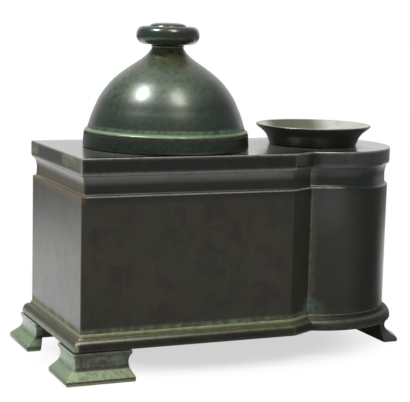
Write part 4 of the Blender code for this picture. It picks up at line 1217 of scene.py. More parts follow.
def wall_patina():
    """Dark brown wall clouded with olive and green-black, paler in its creases, with painted shade in the
    cove under the slab, painted grey sheen in its upper part, a painted highlight along its foot and painted
    sheen round the notch and round end.
    """
    finish = Finish("dark_brown_wall_patina")
    broad = finish.noise(34, 2.0, 0.5, 0.6)
    cloud, fleck, speck = finish.grains(9, 2.8, 0.8, 0.62, 0.5)
    wiped = finish.noise(1.8, 3.0, 0.6, 0.1, (1.0, 1.0, 0.08))
    finish.colour = finish.colour_mix(finish.step(broad, 0.38, 0.62), OLIVE_BROWN, WARM_BROWN)
    finish.mottle(cloud, 0.46, 0.68, 0.75, BROWN_BLACK)
    finish.mottle(cloud, 0.46, 0.30, 0.45, SLATE_GREEN)
    finish.mottle(fleck, 0.52, 0.72, 0.45, OLIVE_BLACK)
    finish.mottle(wiped, 0.50, 0.85, 0.10, RUBBED_BROWN)
    finish.mottle(speck, 0.54, 0.78, 0.55, GREEN_BLACK)
    hip = finish.ramp(finish.x, 8, 22)
    finish.lay(hip * 0.55, OLIVE_BLACK)
    finish.lay(finish.ramp(finish.x, 40, 62) * 0.65, GREEN_BLACK)
    cove_foot = WALL_HIGH.z - COVE_HEIGHT
    # Painted shade: green-black over the cove under the slab's overhang, fading out a few millimetres below
    # its foot.
    neck = finish.ramp(finish.z, -4.0, -0.6, base=cove_foot)
    finish.lay(neck * 0.75, GREEN_BLACK)
    # Painted sheen: slate grey in clouds over the upper part of the cove.
    cove_top_sheen = finish.ramp(finish.z, -5.0, -2.2, base=WALL_HIGH.z)
    finish.lay(cove_top_sheen * finish.step(cloud, 0.25, 0.60, 0.45, 0.9), SLATE_GREY)
    # Painted sheen: pale grey in the upper cove, strongest at the left; it is cut back at the seam under the
    # slab's lip, which stays dark as painted shade.
    cove_grey_sheen = finish.ramp(finish.z, -4.6, -0.4, base=WALL_HIGH.z)
    seam = finish.ramp(finish.z, -0.45, -0.15, 1.0, 0.45, WALL_HIGH.z - SLAB_LIP)
    cove_grey_sheen = cove_grey_sheen * seam * finish.step(cloud, 0.25, 0.60, 0.65, 1.0)
    cove_grey_sheen = cove_grey_sheen * finish.ramp(finish.x, 4, 24, 1.0, 0.10)
    finish.lay(cove_grey_sheen, PAINTED_LIGHT_GREY)
    end = finish.ramp(finish.x, 1.6, 3.0, 1.0, 0.0, CASE_LEFT)
    worn = end * finish.ramp(finish.z, -3.2, -0.4, base=cove_foot)
    worn = worn * finish.ramp(finish.z, 3.5, 6.0, 1.0, 0.2, base=cove_foot)
    worn = worn * finish.step(fleck, 0.34, 0.60, 0.70, 1.0)
    finish.lay(worn, WORN_OLIVE)
    # Painted highlight: a thin pale ash line along the arris at the cove's foot, fading out towards the round
    # end and at the left end.
    lip = finish.band(finish.z, 0.22, 0.16, 0.20, cove_foot)
    lip = lip * finish.step(fleck, 0.30, 0.60, 0.60, 1.0) * finish.ramp(finish.x, 37, 42, 1.0, 0.0)
    finish.lay(lip * (1.0 - 0.85 * end) * 0.80, HIGHLIGHT_ASH)
    # Painted sheen: cold slate grey on the wall below the cove, about the notch where the chamfer meets the
    # round end.
    slate_sheen = finish.ramp(finish.x, 27, 31) * finish.ramp(finish.x, 34, 46, 1.0, 0.0)
    slate_sheen = slate_sheen * finish.ramp(finish.z, -26, -6, base=cove_foot)
    slate_sheen = slate_sheen * finish.ramp(finish.z, -0.6, 0.2, 1.0, 0.0, cove_foot)
    finish.lay(slate_sheen * finish.step(cloud, 0.30, 0.60, 0.40, 0.70), SHEEN_SLATE)
    # Painted highlight: pale grey just above the cove's foot round the round end.
    dusty = finish.ramp(finish.x, 54, 62) * finish.band(finish.z, 1.5, 1.6, 1.6, cove_foot)
    finish.lay(dusty * 0.70, PAINTED_LIGHT_GREY)
    foot = finish.ramp(finish.z, 0.8, 2.6, 1.0, 0.0, MOULDING_HIGH.z)
    foot = foot * finish.step(fleck, 0.38, 0.58, 0.40, 1.0) * finish.ramp(finish.x, 12, 34, 1.0, 0.1)
    finish.lay(foot * 0.85, SAGE)
    # Darker towards the bottom of the wall, in clouds over the lowest 14 mm above the moulding.
    low_darkening = finish.ramp(finish.z, 1, 14, 1.0, 0.0, MOULDING_HIGH.z)
    finish.lay(low_darkening * finish.step(cloud, 0.34, 0.60) * 0.6, OLIVE_BLACK)
    teal = notch_bloom(finish, -1) + notch_bloom(finish, 1)
    teal = teal * finish.step(fleck, 0.36, 0.60)
    finish.lay(teal * 0.70, TEAL_VERDIGRIS)
    blister = finish.pits(3.2, 0.15, 0.10)
    finish.lay(blister * 0.6, GREEN_BLACK)
    pale = finish.attribute("hollow") * finish.step(fleck, 0.30, 0.60, 0.35, 1.0)
    below_slab = finish.ramp(finish.z, -3.0, -1.0, base=cove_foot)
    pale = pale * finish.ramp(finish.x, 38, 44, 1.0, 0.1) * (1.0 - 0.8 * end * below_slab)
    finish.lay(pale * 0.50, RUBBED_AND_HIGHLIGHT_BRONZE)
    bloom = finish.math("MAXIMUM", foot, teal)
    roughness = 0.27 + 0.08 * cloud + 0.04 * wiped + 0.05 * speck + 0.30 * bloom - 0.05 * pale
    metallic = 0.12 - 0.12 * bloom + 0.45 * pale
    normal = finish.relief(blister, -0.05 * MM, below=cast_skin(finish, 0.012, 0.10))
    return coat_bronze(finish, roughness, metallic, normal)


def notch_bloom(finish, side):
    """Green bloom low in the corner where the chamfer meets the round end."""
    x, y = NOTCH_FRONT
    return finish.near((x + 0.5 * MM, side * abs(y), MOULDING_HIGH.z + 2.0 * MM), 1.5 * MM, 6.5 * MM)


def slab_patina():
    """Near-black slab with a dusty top, thin rubbed edges painted pale as highlights and fine dry green
    specks on its left end, with a painted reflection on its lower edge and painted sheen towards the round
    end.
    """
    finish = Finish("near_black_slab_patina")
    cloud, fleck, speck = finish.grains(10, 2.4, 0.8)
    patch = finish.noise(0.9, 3.0, 0.6, 0.2, (1.0, 0.45, 1.0))
    wiped = finish.noise(1.0, 2.0, 0.5, 0.0, (0.10, 1.0, 1.0))
    top = finish.ramp(finish.z, -0.25, -0.02, base=SLAB_TOP)
    finish.colour = finish.colour_mix(finish.step(cloud, 0.40, 0.66), GREEN_BLACK, BROWN_BLACK)
    finish.lay(top * (0.55 + 0.45 * wiped), DUSTY_SLATE)
    finish.mottle(fleck, 0.50, 0.72, 0.40, OLIVE_BLACK)
    finish.mottle(speck, 0.54, 0.78, 0.45, SLATE_GREEN)
    end = finish.ramp(finish.x, 0.1, 0.8, 1.0, 0.0, CASE_LEFT)
    finish.lay(end * finish.step(cloud, 0.30, 0.62, 0.05, 0.25), RUBBED_BROWN)
    finish.lay(end * finish.step(fleck, 0.34, 0.58) * 0.9, OLIVE_BLACK)
    kept = finish.ramp(finish.z, -5.4, -3.9, base=SLAB_TOP)
    kept = kept * finish.ramp(finish.z, -0.9, -0.3, 1.0, 0.0, SLAB_TOP)
    where = finish.band(finish.y, 30, 5, 4) + finish.band(finish.y, -22, 9, 5)
    dry = end * kept * where * finish.step(patch, 0.36, 0.60, 0.30, 1.0)
    dry = dry * finish.step(cloud, 0.36, 0.56, 0.25, 1.0)
    finish.lay(dry * 0.80, DRY_VERDIGRIS)
    finish.lay(dry * finish.step(speck, 0.50, 0.64) * 0.5, OLIVE_VERDIGRIS)
    # Painted reflection: pale grey on the lip and rounded lower edge of the slab, weaker towards the round
    # end.
    lower = finish.ramp(finish.z, -0.3, 0.7, 1.0, 0.0, SLAB_BOTTOM)
    lower = lower * finish.step(fleck, 0.30, 0.60, 0.55, 0.90) * finish.ramp(finish.x, 10, 30, 1.0, 0.10)
    finish.lay(lower, PAINTED_LIGHT_GREY)
    # Painted sheen: cold slate grey on the slab's sides towards the round end, kept off the top and the lower
    # edge.
    slate_sheen = finish.ramp(finish.x, 28, 31) * finish.ramp(finish.x, 40, 58, 1.0, 0.0)
    slate_sheen = slate_sheen * (1.0 - top) * (1.0 - lower) * finish.step(cloud, 0.30, 0.60, 0.35, 0.65)
    finish.lay(slate_sheen, SHEEN_SLATE)
    # Wear on the edges, laid in pale ash that also paints the edges' highlight; weaker on the lower edges
    # towards the right.
    rub = finish.attribute("arris") * finish.step(fleck, 0.25, 0.55, 0.55, 1.0)
    low_rub = finish.ramp(finish.z, 1.0, 2.0, 1.0, 0.0, SLAB_BOTTOM)
    rub = rub * (1.0 - 0.7 * low_rub * finish.ramp(finish.x, 10, 30))
    finish.lay(rub * 0.70, HIGHLIGHT_ASH)
    roughness = 0.12 + 0.05 * cloud + 0.06 * wiped + 0.24 * end + 0.40 * dry + 0.10 * rub
    metallic = 0.10 - 0.10 * dry + 0.20 * rub
    return coat_bronze(finish, roughness, metallic, cast_skin(finish, 0.003, 0.03))


def moulding_patina():
    """Olive bull nose with a green line along the wall and a dark worn face, near-black at the round end,
    with a painted highlight along the nose and light painted shade in the trough above it.
    """
    finish = Finish("olive_moulding_patina")
    cloud, fleck, speck = finish.grains(7, 2.2, 0.8)
    rise = (MOULDING_HIGH.z - MOULDING_LOW.z) / MM
    olive = finish.ramp(finish.x, 14, 40, 1.0, 0.0)
    shoulder = finish.ramp(finish.z, 0.46 * rise, 0.62 * rise, base=MOULDING_LOW.z)
    leftmost = finish.ramp(finish.x, -1.6, -0.4, 1.0, 0.0, CASE_LEFT)
    finish.colour = finish.colour_mix(finish.step(cloud, 0.38, 0.64), BROWN_BLACK, OLIVE_BLACK)
    finish.mottle(fleck, 0.50, 0.70, 0.4, WARM_BROWN)
    finish.lay(finish.ramp(finish.x, 20, 40) * 0.90, BLACK_TONE_AND_SHADE)
    tinted = finish.colour_mix(finish.step(fleck, 0.36, 0.66), DRY_OLIVE, OLIVE_VERDIGRIS)
    tinted = finish.colour_mix(finish.step(cloud, 0.50, 0.72) * 0.6, tinted, OLIVE_BROWN)
    finish.lay(shoulder * olive * (0.55 + 0.45 * cloud), tinted)
    mossy = leftmost * finish.ramp(finish.z, 0.30 * rise, 0.50 * rise, 1.0, 0.0, MOULDING_LOW.z)
    finish.lay(mossy * finish.step(fleck, 0.28, 0.55, 0.25, 0.85), SAGE)
    brown = leftmost * shoulder * finish.step(fleck, 0.36, 0.60)
    finish.lay(brown * 0.85, WARM_BROWN)
    finish.lay(leftmost * shoulder * 0.35, OLIVE_BLACK)
    finish.mottle(speck, 0.52, 0.76, 0.45, OLIVE_BLACK)
    # Painted shade: a light darkening in the trough between the hollow and the bull nose.
    trough = finish.band(finish.z, 0.70 * rise, 0.05 * rise, 0.12 * rise, MOULDING_LOW.z)
    finish.lay(trough * 0.12, OLIVE_BLACK)
    line = finish.ramp(finish.z, -1.50, -0.35, base=MOULDING_HIGH.z)
    line = line * finish.step(fleck, 0.30, 0.56, 0.60, 1.0) * olive * (1.0 - 0.45 * leftmost)
    finish.lay(line * 0.80, PALE_SAGE)
    # Painted highlight: a rubbed-bronze band along the top of the bull nose, strongest at the left and fading
    # to the right, left off the left end.
    nose = finish.band(finish.z, 0.61 * rise, 0.02 * rise, 0.07 * rise, MOULDING_LOW.z)
    nose = nose * finish.ramp(finish.x, -72, -10, 1.0, 0.20) * finish.step(fleck, 0.30, 0.60, 0.60, 1.0)
    finish.lay(nose * (1.0 - leftmost) * 0.55, RUBBED_AND_HIGHLIGHT_BRONZE)
    rub = finish.attribute("arris") * finish.step(fleck, 0.30, 0.60, 0.30, 1.0)
    finish.lay(rub * 0.30, RUBBED_AND_HIGHLIGHT_BRONZE)
    roughness = 0.24 + 0.08 * cloud + 0.10 * shoulder * speck + 0.30 * line
    roughness = roughness + finish.ramp(finish.x, 20, 40) * 0.28 + leftmost * 0.14
    metallic = 0.10 - 0.08 * line + 0.30 * rub
    return coat_bronze(finish, roughness, metallic, cast_skin(finish, 0.012, 0.06), ior=1.37)


def foot_patina():
    """Feet green at the left end: grey-green scotia with painted shade in its fold, dry flare; near-black at
    the round end. Painted highlights on the cap's edge and the round foot's toe, painted shadow lines under
    the cap and above the plinth.
    """
    finish = Finish("green_foot_patina")
    cloud, fleck, speck = finish.grains(4, 1.8, 0.7, 0.62, 0.8)
    streak = finish.noise(1.6, 3.0, 0.6, 0.2, (1.0, 1.0, 0.25))
    flare = finish.band(finish.z, 3.2, 1.2, 0.55)
    fold_shade = finish.band(finish.z, 5.45, 0.40, 0.45)
    scotia = finish.ramp(finish.z, 5.6, 6.6)
    green = finish.ramp(finish.x, -20, 20, 1.0, 0.0)
    finish.colour = finish.colour_mix(finish.step(cloud, 0.36, 0.66), OLIVE_BLACK, DARK_MOSS)
    grey = finish.colour_mix(finish.step(streak, 0.40, 0.58), GREY_VERDIGRIS, SLATE_GREEN)
    grey = finish.colour_mix(finish.step(fleck, 0.50, 0.66) * 0.7, grey, TEAL_VERDIGRIS)
    grey = finish.colour_mix(finish.step(cloud, 0.48, 0.62) * 0.85, grey, GREEN_BLACK)
    finish.lay(scotia * 0.90, grey)
    dry = finish.colour_mix(finish.step(cloud, 0.38, 0.58), GREEN_BRONZE, PALE_VERDIGRIS)
    dry = finish.colour_mix(finish.step(fleck, 0.52, 0.68) * 0.75, dry, OLIVE_VERDIGRIS)
    dry = finish.colour_mix(finish.step(streak, 0.50, 0.66) * 0.6, dry, DARK_MOSS)
    finish.lay(flare * (0.75 + 0.25 * streak), dry)
    left = finish.ramp(finish.x, -0.2, 1.3, 1.0, 0.0, CASE_LEFT + EDGE_INSET)
    moss = finish.colour_mix(finish.step(fleck, 0.38, 0.62), PALE_VERDIGRIS, FRESH_VERDIGRIS)
    upper = finish.ramp(finish.z, 1.8, 3.0)
    moss = finish.colour_mix(finish.ramp(finish.z, 4.6, 6.2) * 0.7, moss, BRIGHT_VERDIGRIS)
    finish.lay(left * upper * finish.step(cloud, 0.30, 0.56, 0.50, 0.95), moss)
    # Painted shade: a near-black band in the fold of the scotia, weaker on the left faces.
    finish.lay(fold_shade * (1.0 - 0.8 * left) * 0.95, BLACK_TONE_AND_SHADE)
    finish.mottle(speck, 0.52, 0.76, 0.45, OLIVE_BLACK)
    # Painted highlight: pale grey-green along the top edge of the foot's cap.
    cap_edge_highlight = finish.ramp(finish.z, -0.5, -0.25, base=FOOT_TOP)
    finish.lay(cap_edge_highlight * 0.45, GREY_VERDIGRIS)
    # Painted shadow: a dark line just under the cap.
    cap_shadow = finish.band(finish.z, -1.0, 0.15, 0.40, FOOT_TOP)
    finish.lay(cap_shadow * 0.70, BLACK_TONE_AND_SHADE)
    plinth = finish.ramp(finish.z, 1.4, 1.9, 1.0, 0.0)
    finish.lay(plinth * 0.9, SLATE_GREY)
    # Painted shade: a dark line in the step between the flare and the plinth.
    finish.lay(finish.band(finish.z, 1.30, 0.18, 0.22) * 0.9, BLACK_TONE_AND_SHADE)
    rim = finish.band(finish.z, 0.60, 0.28, 0.22)
    finish.lay(rim * 0.80, SAGE)
    finish.lay((1.0 - green) * 0.95, BLUE_BLACK)
    # Painted highlight: grey on the toe of the round-end foot.
    toe_highlight = finish.near((FOOT_END - 1.8 * MM, -6 * MM, 3.0 * MM), 0.8 * MM, 3.0 * MM)
    finish.lay(toe_highlight * 0.60, PAINTED_LIGHT_GREY)
    rub = finish.attribute("arris") * finish.step(fleck, 0.30, 0.60, 0.35, 1.0)
    finish.lay(rub * 0.30, RUBBED_AND_HIGHLIGHT_BRONZE)
    matt = finish.math("MAXIMUM", flare * 0.20, fold_shade * 0.55) * green
    roughness = 0.30 + 0.10 * cloud + matt + 0.05 * speck
    metallic = 0.08 + 0.30 * rub
    normal = finish.relief(fleck, 0.05 * MM, below=cast_skin(finish, 0.015, 0.05))
    return coat_bronze(finish, roughness, metallic, normal)


def lid_patina():
    """Green-brown speckled dome, pitted, deeper green below, with green bloom on the ledge, painted shade on
    its right side, in a belt round its middle and in the groove under the ledge, and a collar painted darker
    to the right and at its foot.
    """
    finish = Finish("speckled_green_lid_patina")
    broad = finish.noise(20, 3.0, 0.5, 0.8)
    cloud = finish.noise(6, 4.0, 0.62, 0.6)
    fleck = finish.noise(2.0, 3.0, 0.62, 0.4)
    speck = finish.noise(0.7, 3.0, 0.7)
    low = finish.ramp(finish.z, 7, 26, 1.0, 0.0, SLAB_TOP)
    high = finish.ramp(finish.z, 26, 38, base=SLAB_TOP)
    left = finish.ramp(finish.x, -24, 18, 1.0, 0.0, LID_X)
    finish.colour = finish.colour_mix(finish.step(broad, 0.36, 0.64), SLATE_GREEN, DARK_MOSS)
    green = finish.math("MINIMUM", 0.40 + 0.50 * low + 0.45 * left, 1.0)
    green = green * finish.step(cloud, 0.36, 0.60, 0.35, 1.0)
    finish.lay(green, DEEP_GREEN)
    finish.lay(high * 0.90, DRY_OLIVE)
    finish.lay(left * (1.0 - low) * finish.step(fleck, 0.30, 0.60) * 0.40, MOSS_VERDIGRIS)
    shade = finish.ramp(finish.x, 4, 22, base=LID_X) * finish.ramp(finish.z, 10, 16, base=SLAB_TOP)
    finish.lay(shade * finish.step(cloud, 0.34, 0.60, 0.40, 1.0) * 0.75, BROWN_BLACK)
    finish.mottle(fleck, 0.54, 0.70, 0.45, BRIGHT_GREEN)
    finish.mottle(fleck, 0.48, 0.30, 0.75, GREEN_BLACK)
    finish.mottle(speck, 0.52, 0.70, 0.80, GREEN_BLACK)
    # Painted shade: green-black clouds in a belt round the middle of the dome, darkening its sheen there.
    belt_shade = finish.band(finish.z, 15.0, 5.0, 2.6, SLAB_TOP) * finish.step(cloud, 0.25, 0.60, 0.6, 1.0)
    finish.lay(belt_shade * 0.40, GREEN_BLACK)
    ring = finish.band(finish.z, 8.3, 0.5, 1.0, SLAB_TOP)
    bloom = ring * finish.step(fleck, 0.36, 0.60, 0.30, 1.0)
    finish.lay(bloom * 0.85, BRIGHT_GREEN)
    finish.lay(bloom * 0.20, FRESH_VERDIGRIS)
    bead = finish.band(finish.z, 6.95, 0.30, 0.35, SLAB_TOP)
    finish.lay(bead * finish.step(fleck, 0.30, 0.60, 0.5, 1.0) * 0.85, MOSS_VERDIGRIS)
    finish.lay(bead * left * 0.45, FRESH_VERDIGRIS)
    spark = finish.step(finish.noise(1.1, 2.0, 0.5, 0.2), 0.62, 0.68) * low
    finish.lay(spark * 0.35, BRIGHT_GREEN)
    edge = finish.band(finish.z, 7.60, 0.18, 0.30, SLAB_TOP)
    pale = edge * (0.30 + 0.70 * left) * finish.step(cloud, 0.30, 0.56, 0.60, 1.0)
    finish.lay(pale * 0.95, FRESH_VERDIGRIS)
    groove_shade = finish.band(finish.z, 5.95, 0.35, 0.20, SLAB_TOP)
    collar = finish.ramp(finish.z, 6.1, 6.4, 1.0, 0.0, SLAB_TOP)
    ringed = finish.noise(1.4, 3.0, 0.6, 0.3, (1.0, 1.0, 2.2))
    skirt = finish.colour_mix(finish.step(ringed, 0.38, 0.66), GREEN_BLACK, DARK_MOSS)
    skirt = finish.colour_mix(finish.step(fleck, 0.50, 0.66) * 0.7, skirt, DEEP_GREEN)
    # Painted shade: the collar goes near-black towards its right side, and partly so at its foot by the slab.
    skirt = finish.colour_mix(finish.ramp(finish.x, -4, 24, base=LID_X) * 0.9, skirt, BLACK_TONE_AND_SHADE)
    collar_contact_shade = finish.ramp(finish.z, 1.0, 2.6, 1.0, 0.0, SLAB_TOP)
    skirt = finish.colour_mix(collar_contact_shade * 0.6, skirt, BLACK_TONE_AND_SHADE)
    finish.lay(collar * 0.9, skirt)
    # Painted shade: near-black in the groove under the ledge and over the collar's top edge.
    finish.lay(groove_shade * 0.95, BLACK_TONE_AND_SHADE)
    rust = finish.pits(4.6, 0.12, 0.10)
    finish.lay(rust * 0.6, RUST_FLECK)
    pit = finish.pits(2.2, 0.15, 0.20)
    finish.lay(pit * 0.65, BROWN_BLACK)
    rub = finish.attribute("arris") * finish.step(fleck, 0.30, 0.60, 0.30, 1.0)
    finish.lay(rub * 0.20, RUBBED_AND_HIGHLIGHT_BRONZE)
    finish.lay(0.12, BLACK_TONE_AND_SHADE)
    roughness = 0.30 + 0.07 * cloud + 0.06 * speck + 0.20 * bloom + 0.20 * pale + 0.70 * groove_shade
    metallic = 0.10 - 0.10 * bloom + 0.2 * rub
    normal = finish.relief(pit, -0.09 * MM, below=cast_skin(finish, 0.020, 0.08))
    wax = 0.22 * finish.ramp(finish.z, 6.6, 8.0, base=SLAB_TOP)
    return coat_bronze(finish, roughness, metallic, normal, wax, ior=1.42)


def knob_patina():
    """Brown-black knob, polished by fingers, green in its groove."""
    finish = Finish("brown_black_knob_patina")
    cloud, fleck, speck = finish.grains(5, 1.8, 0.7)
    finish.colour = finish.colour_mix(finish.step(cloud, 0.38, 0.64), OLIVE_BROWN, SLATE_GREEN)
    finish.mottle(fleck, 0.50, 0.70, 0.55, BROWN_BLACK)
    finish.mottle(speck, 0.54, 0.76, 0.40, GREEN_BLACK)
    groove = finish.attribute("hollow") * finish.step(fleck, 0.34, 0.60, 0.4, 1.0)
    finish.lay(groove * 0.45, MOSS_VERDIGRIS)
    left = finish.ramp(finish.x, -10, 2, 1.0, 0.0, LID_X)
    finish.lay(left * finish.step(fleck, 0.34, 0.60, 0.3, 0.8), DEEP_GREEN)
    top = finish.ramp(finish.z, -1.2, 0.0, base=KNOB_HIGH.z)
    finish.lay(top * 0.5, WARM_BROWN)
    roughness = 0.17 + 0.07 * cloud + 0.06 * speck + 0.2 * groove
    metallic = 0.12 - 0.1 * groove
    return coat_bronze(finish, roughness, metallic, cast_skin(finish, 0.012, 0.04))


def cup_patina():
    """Near-black cup outside, dry olive inside its mouth with painted sheen at both ends, and a rubbed lip.
    """
    finish = Finish("cup_patina")
    cloud, fleck, speck = finish.grains(5, 1.8, 0.7)
    outwards = finish.vector("SUBTRACT", finish.place, (CUP_X, 0.0, 0.0))
    outwards = finish.vector("NORMALIZE", finish.vector("MULTIPLY", outwards, (1.0, 1.0, 0.0)))
    facing = finish.vector("DOT_PRODUCT", finish.facing(), outwards, output="Value")
    inside = finish.step(facing, -0.30, 0.0, 1.0, 0.0)
    lip = finish.ramp(finish.z, -0.45, -0.05, base=CUP_HIGH.z)
    dry = inside * finish.step(cloud, 0.25, 0.60, 0.70, 1.0)
    finish.colour = finish.colour_mix(finish.step(cloud, 0.40, 0.66), DUSTY_SLATE, OLIVE_BLACK)
    finish.mottle(fleck, 0.50, 0.70, 0.5, SLATE_GREEN)
    finish.lay(dry, DRY_OLIVE)
    across = finish.math("ABSOLUTE", finish.x - CUP_X)
    # Painted sheen: pale ash at both ends of the inside of the mouth, away from its middle.
    inside_end_sheen = dry * finish.step(across, 8 * MM, 17 * MM)
    finish.lay(inside_end_sheen, PALE_SHEEN)
    finish.mottle(speck, 0.54, 0.76, 0.35, OLIVE_BLACK)
    finish.lay(lip * 0.55, RUBBED_AND_HIGHLIGHT_BRONZE)
    roughness = 0.30 + 0.08 * cloud + 0.05 * speck + 0.08 * dry
    metallic = 0.10 - 0.08 * dry + 0.30 * lip
    return coat_bronze(finish, roughness, metallic, cast_skin(finish, 0.010, 0.04))


def plate_patina():
    """Dark closing plate under the case, with file marks across it."""
    finish = Finish("dark_plate_patina")
    cloud = finish.noise(12, 4.0, 0.6, 0.6)
    marks = finish.noise(1.0, 3.0, 0.6, 0.2, (0.15, 1.0, 1.0))
    finish.colour = finish.colour_mix(finish.step(cloud, 0.38, 0.66), BROWN_BLACK, WARM_BROWN)
    finish.mottle(marks, 0.50, 0.75, 0.4, OLIVE_BROWN)
    roughness = 0.42 + 0.12 * cloud + 0.10 * marks
    normal = finish.relief(marks, 0.05 * MM, below=cast_skin(finish, 0.015, 0.08))
    return coat_bronze(finish, roughness, 0.45, normal)


def dull_brass(name, ring_axis):
    """Turned brass with fine rings and brown tarnish."""
    finish = Finish(name)
    cloud = finish.noise(6, 4.0, 0.6, 0.5)
    speck = finish.noise(0.9, 3.0, 0.65)
    rings = finish.noise(0.5, 2.0, 0.5, 0.0, ring_axis)
    finish.colour = finish.colour_mix(finish.step(cloud, 0.35, 0.68), tone(176, 142, 84), tone(118, 92, 54))
    finish.mottle(speck, 0.55, 0.80, 0.5, tone(74, 66, 44))
    finish.lay(finish.attribute("hollow") * 0.5, tone(62, 70, 46))
    metallic = 0.95 - 0.35 * finish.step(speck, 0.55, 0.80)
    normal = finish.relief(rings, 0.03 * MM, below=cast_skin(finish, 0.008, 0.03))
    return finish.done(0.32 + 0.16 * cloud + 0.08 * rings, metallic, normal)


def aged_steel():
    """Screw steel, greyed, with brown bloom in its slots and turned faces."""
    finish = Finish("aged_screw_steel")
    cloud = finish.noise(2.5, 4.0, 0.6, 0.5)
    turned = finish.noise(0.4, 2.0, 0.5, 0.0, (1.0, 1.0, 0.2))
    finish.colour = finish.colour_mix(finish.step(cloud, 0.35, 0.65), tone(136, 134, 128), tone(98, 94, 86))
    rust = finish.math("MAXIMUM", finish.attribute("hollow"), finish.step(cloud, 0.58, 0.72))
    finish.lay(rust * 0.7, tone(86, 58, 38))
    normal = finish.relief(turned, 0.02 * MM, below=cast_skin(finish, 0.006, 0.02))
    return finish.done(0.34 + 0.12 * turned + 0.25 * rust, 0.95 - 0.6 * rust, normal)


def pressed_glass():
    """Clear greenish pressed glass, faintly wavy, with a dry ink bloom low inside."""
    finish = Finish("clear_pressed_glass")
    wave = finish.noise(7, 2.0, 0.5, 0.3)
    seed = finish.pits(3.5, 0.10, 0.12)
    low = finish.ramp(finish.z, 4, 10, 1.0, 0.0, GLASS_BOTTOM)
    finish.colour = finish.colour_mix(low * 0.5, (0.90, 0.96, 0.93, 1.0), (0.62, 0.72, 0.80, 1.0))
    finish.put("Transmission Weight", 1.0)
    finish.put("IOR", GLASS_IOR)
    normal = finish.relief(seed, 0.05 * MM, below=finish.relief(wave, 0.25 * MM))
    return finish.done(0.02 + 0.05 * wave, 0.0, normal)


def seat_leather():
    """Brown leather washer with a pebbled grain."""
    finish = Finish("brown_seat_leather")
    grain = finish.cells(0.9)[0]
    cloud = finish.noise(5, 4.0, 0.6)
    crease = finish.step(grain, 0.25, 0.60)
    finish.colour = finish.colour_mix(finish.step(cloud, 0.35, 0.70), tone(104, 66, 40), tone(70, 44, 28))
    finish.lay(crease * 0.5, tone(48, 30, 20))
    return finish.done(0.62 + 0.15 * crease, 0.0, finish.relief(1.0 - crease, 0.08 * MM))


def well_cork():
    """Pressed cork: pale grains in a darker binding, with open pores."""
    finish = Finish("pressed_cork")
    grain, shade = finish.cells(2.2)
    pore = finish.pits(1.1, 0.25, 0.30)
    finish.colour = finish.colour_mix(shade, tone(186, 142, 98), tone(150, 106, 68))
    finish.mottle(grain, 0.42, 0.62, 0.6, tone(108, 72, 44))
    finish.lay(pore * 0.8, tone(70, 44, 28))
    return finish.done(0.80 + 0.12 * shade, 0.0, finish.relief(grain * -1.0 - pore, 0.25 * MM))


# Studio: camera of the photograph, white sweep, two soft boxes and a dark flag at the right
CAMERA_PLACE = Vector((-227.5, -510.3, 143.4)) * MM
CAMERA_YAW = math.radians(23.208)
CAMERA_PITCH = math.radians(8.298)
CAMERA_ROLL = math.radians(-1.431)
CAMERA_LENS = 118.23
SENSOR_WIDTH = 36.0
CLIP_START, CLIP_END = 0.01, 50.0


def add_camera():
    data = bpy.data.cameras.new("photo_camera")
    data.lens = CAMERA_LENS
    data.sensor_width = SENSOR_WIDTH
    data.clip_start, data.clip_end = CLIP_START, CLIP_END
    camera = bpy.data.objects.new("photo_camera", data)
    bpy.context.scene.collection.objects.link(camera)
    forward = Vector((math.sin(CAMERA_YAW), math.cos(CAMERA_YAW), 0.0)) * math.cos(CAMERA_PITCH)
    forward.z = -math.sin(CAMERA_PITCH)
    level = Vector((math.cos(CAMERA_YAW), -math.sin(CAMERA_YAW), 0.0))
    down = forward.cross(level)
    right = level * math.cos(CAMERA_ROLL) + down * math.sin(CAMERA_ROLL)
    below = down * math.cos(CAMERA_ROLL) - level * math.sin(CAMERA_ROLL)
    turn = Matrix((right, -below, -forward)).transposed()
    camera.matrix_world = Matrix.Translation(CAMERA_PLACE) @ turn.to_4x4()
    bpy.context.scene.camera = camera


def direction(azimuth, elevation):
    """A direction from the object; azimuth 0 is towards the front and 90 towards the round end."""
    turn, lift = math.radians(azimuth), math.radians(elevation)
    return Vector((math.sin(turn) * math.cos(lift), -math.cos(turn) * math.cos(lift), math.sin(lift)))


LID_CENTRE = Vector((LID_X, 0.0, SLAB_TOP + 20 * MM))
ROOM_LEVEL = 0.42
HIGH_LEVEL = 0.9
BACK_LEVEL = 1.15
PLAIN_LEVEL = 0.5
DIM_RIGHT = 0.10
BACK_WAY, RIGHT_WAY = (158, 14), (72, 18)
SOFT_BOX_DISTANCE = 0.9
WHITE, WARM_WHITE = (1.0, 1.0, 1.0), (1.0, 0.95, 0.84)
FLOOR_SIZE = 6.0
FLOOR_FRONT, FLOOR_RIGHT = (24, 0), (72, 0)
FLAG_X, FLAG_HEIGHT = 0.19, 0.056
FLAG_FRONT, FLAG_BACK = -0.15, 0.012
SHADOW_LIFT = 0.62
SHADOW_REACH = 0.028
WHITE_FROM = 0.056


def add_soft_box(name, way, size, gloss_power, plain_power, colour):
    """A soft box in two lamps of one place and size: a strong one for the gloss, a plain one for all else."""
    outwards = direction(*way)
    for share, power in (("gloss", gloss_power), ("plain", plain_power)):
        data = bpy.data.lights.new(f"{name}_{share}", "AREA")
        data.shape = "RECTANGLE"
        data.size, data.size_y = size
        data.energy = power
        data.color = colour
        box = bpy.data.objects.new(f"{name}_{share}", data)
        bpy.context.scene.collection.objects.link(box)
        box.visible_glossy = share == "gloss"
        box.visible_diffuse = share == "plain"
        box.location = LID_CENTRE + outwards * SOFT_BOX_DISTANCE
        box.rotation_mode = "QUATERNION"
        box.rotation_quaternion = outwards.to_track_quat("Z", "Y")


def towards(graph, way, azimuth, elevation):
    """How far a way points in a direction."""
    sockets = {0: way, 1: tuple(direction(azimuth, elevation))}
    return graph.node("ShaderNodeVectorMath", {"operation": "DOT_PRODUCT"}, sockets, "Value")


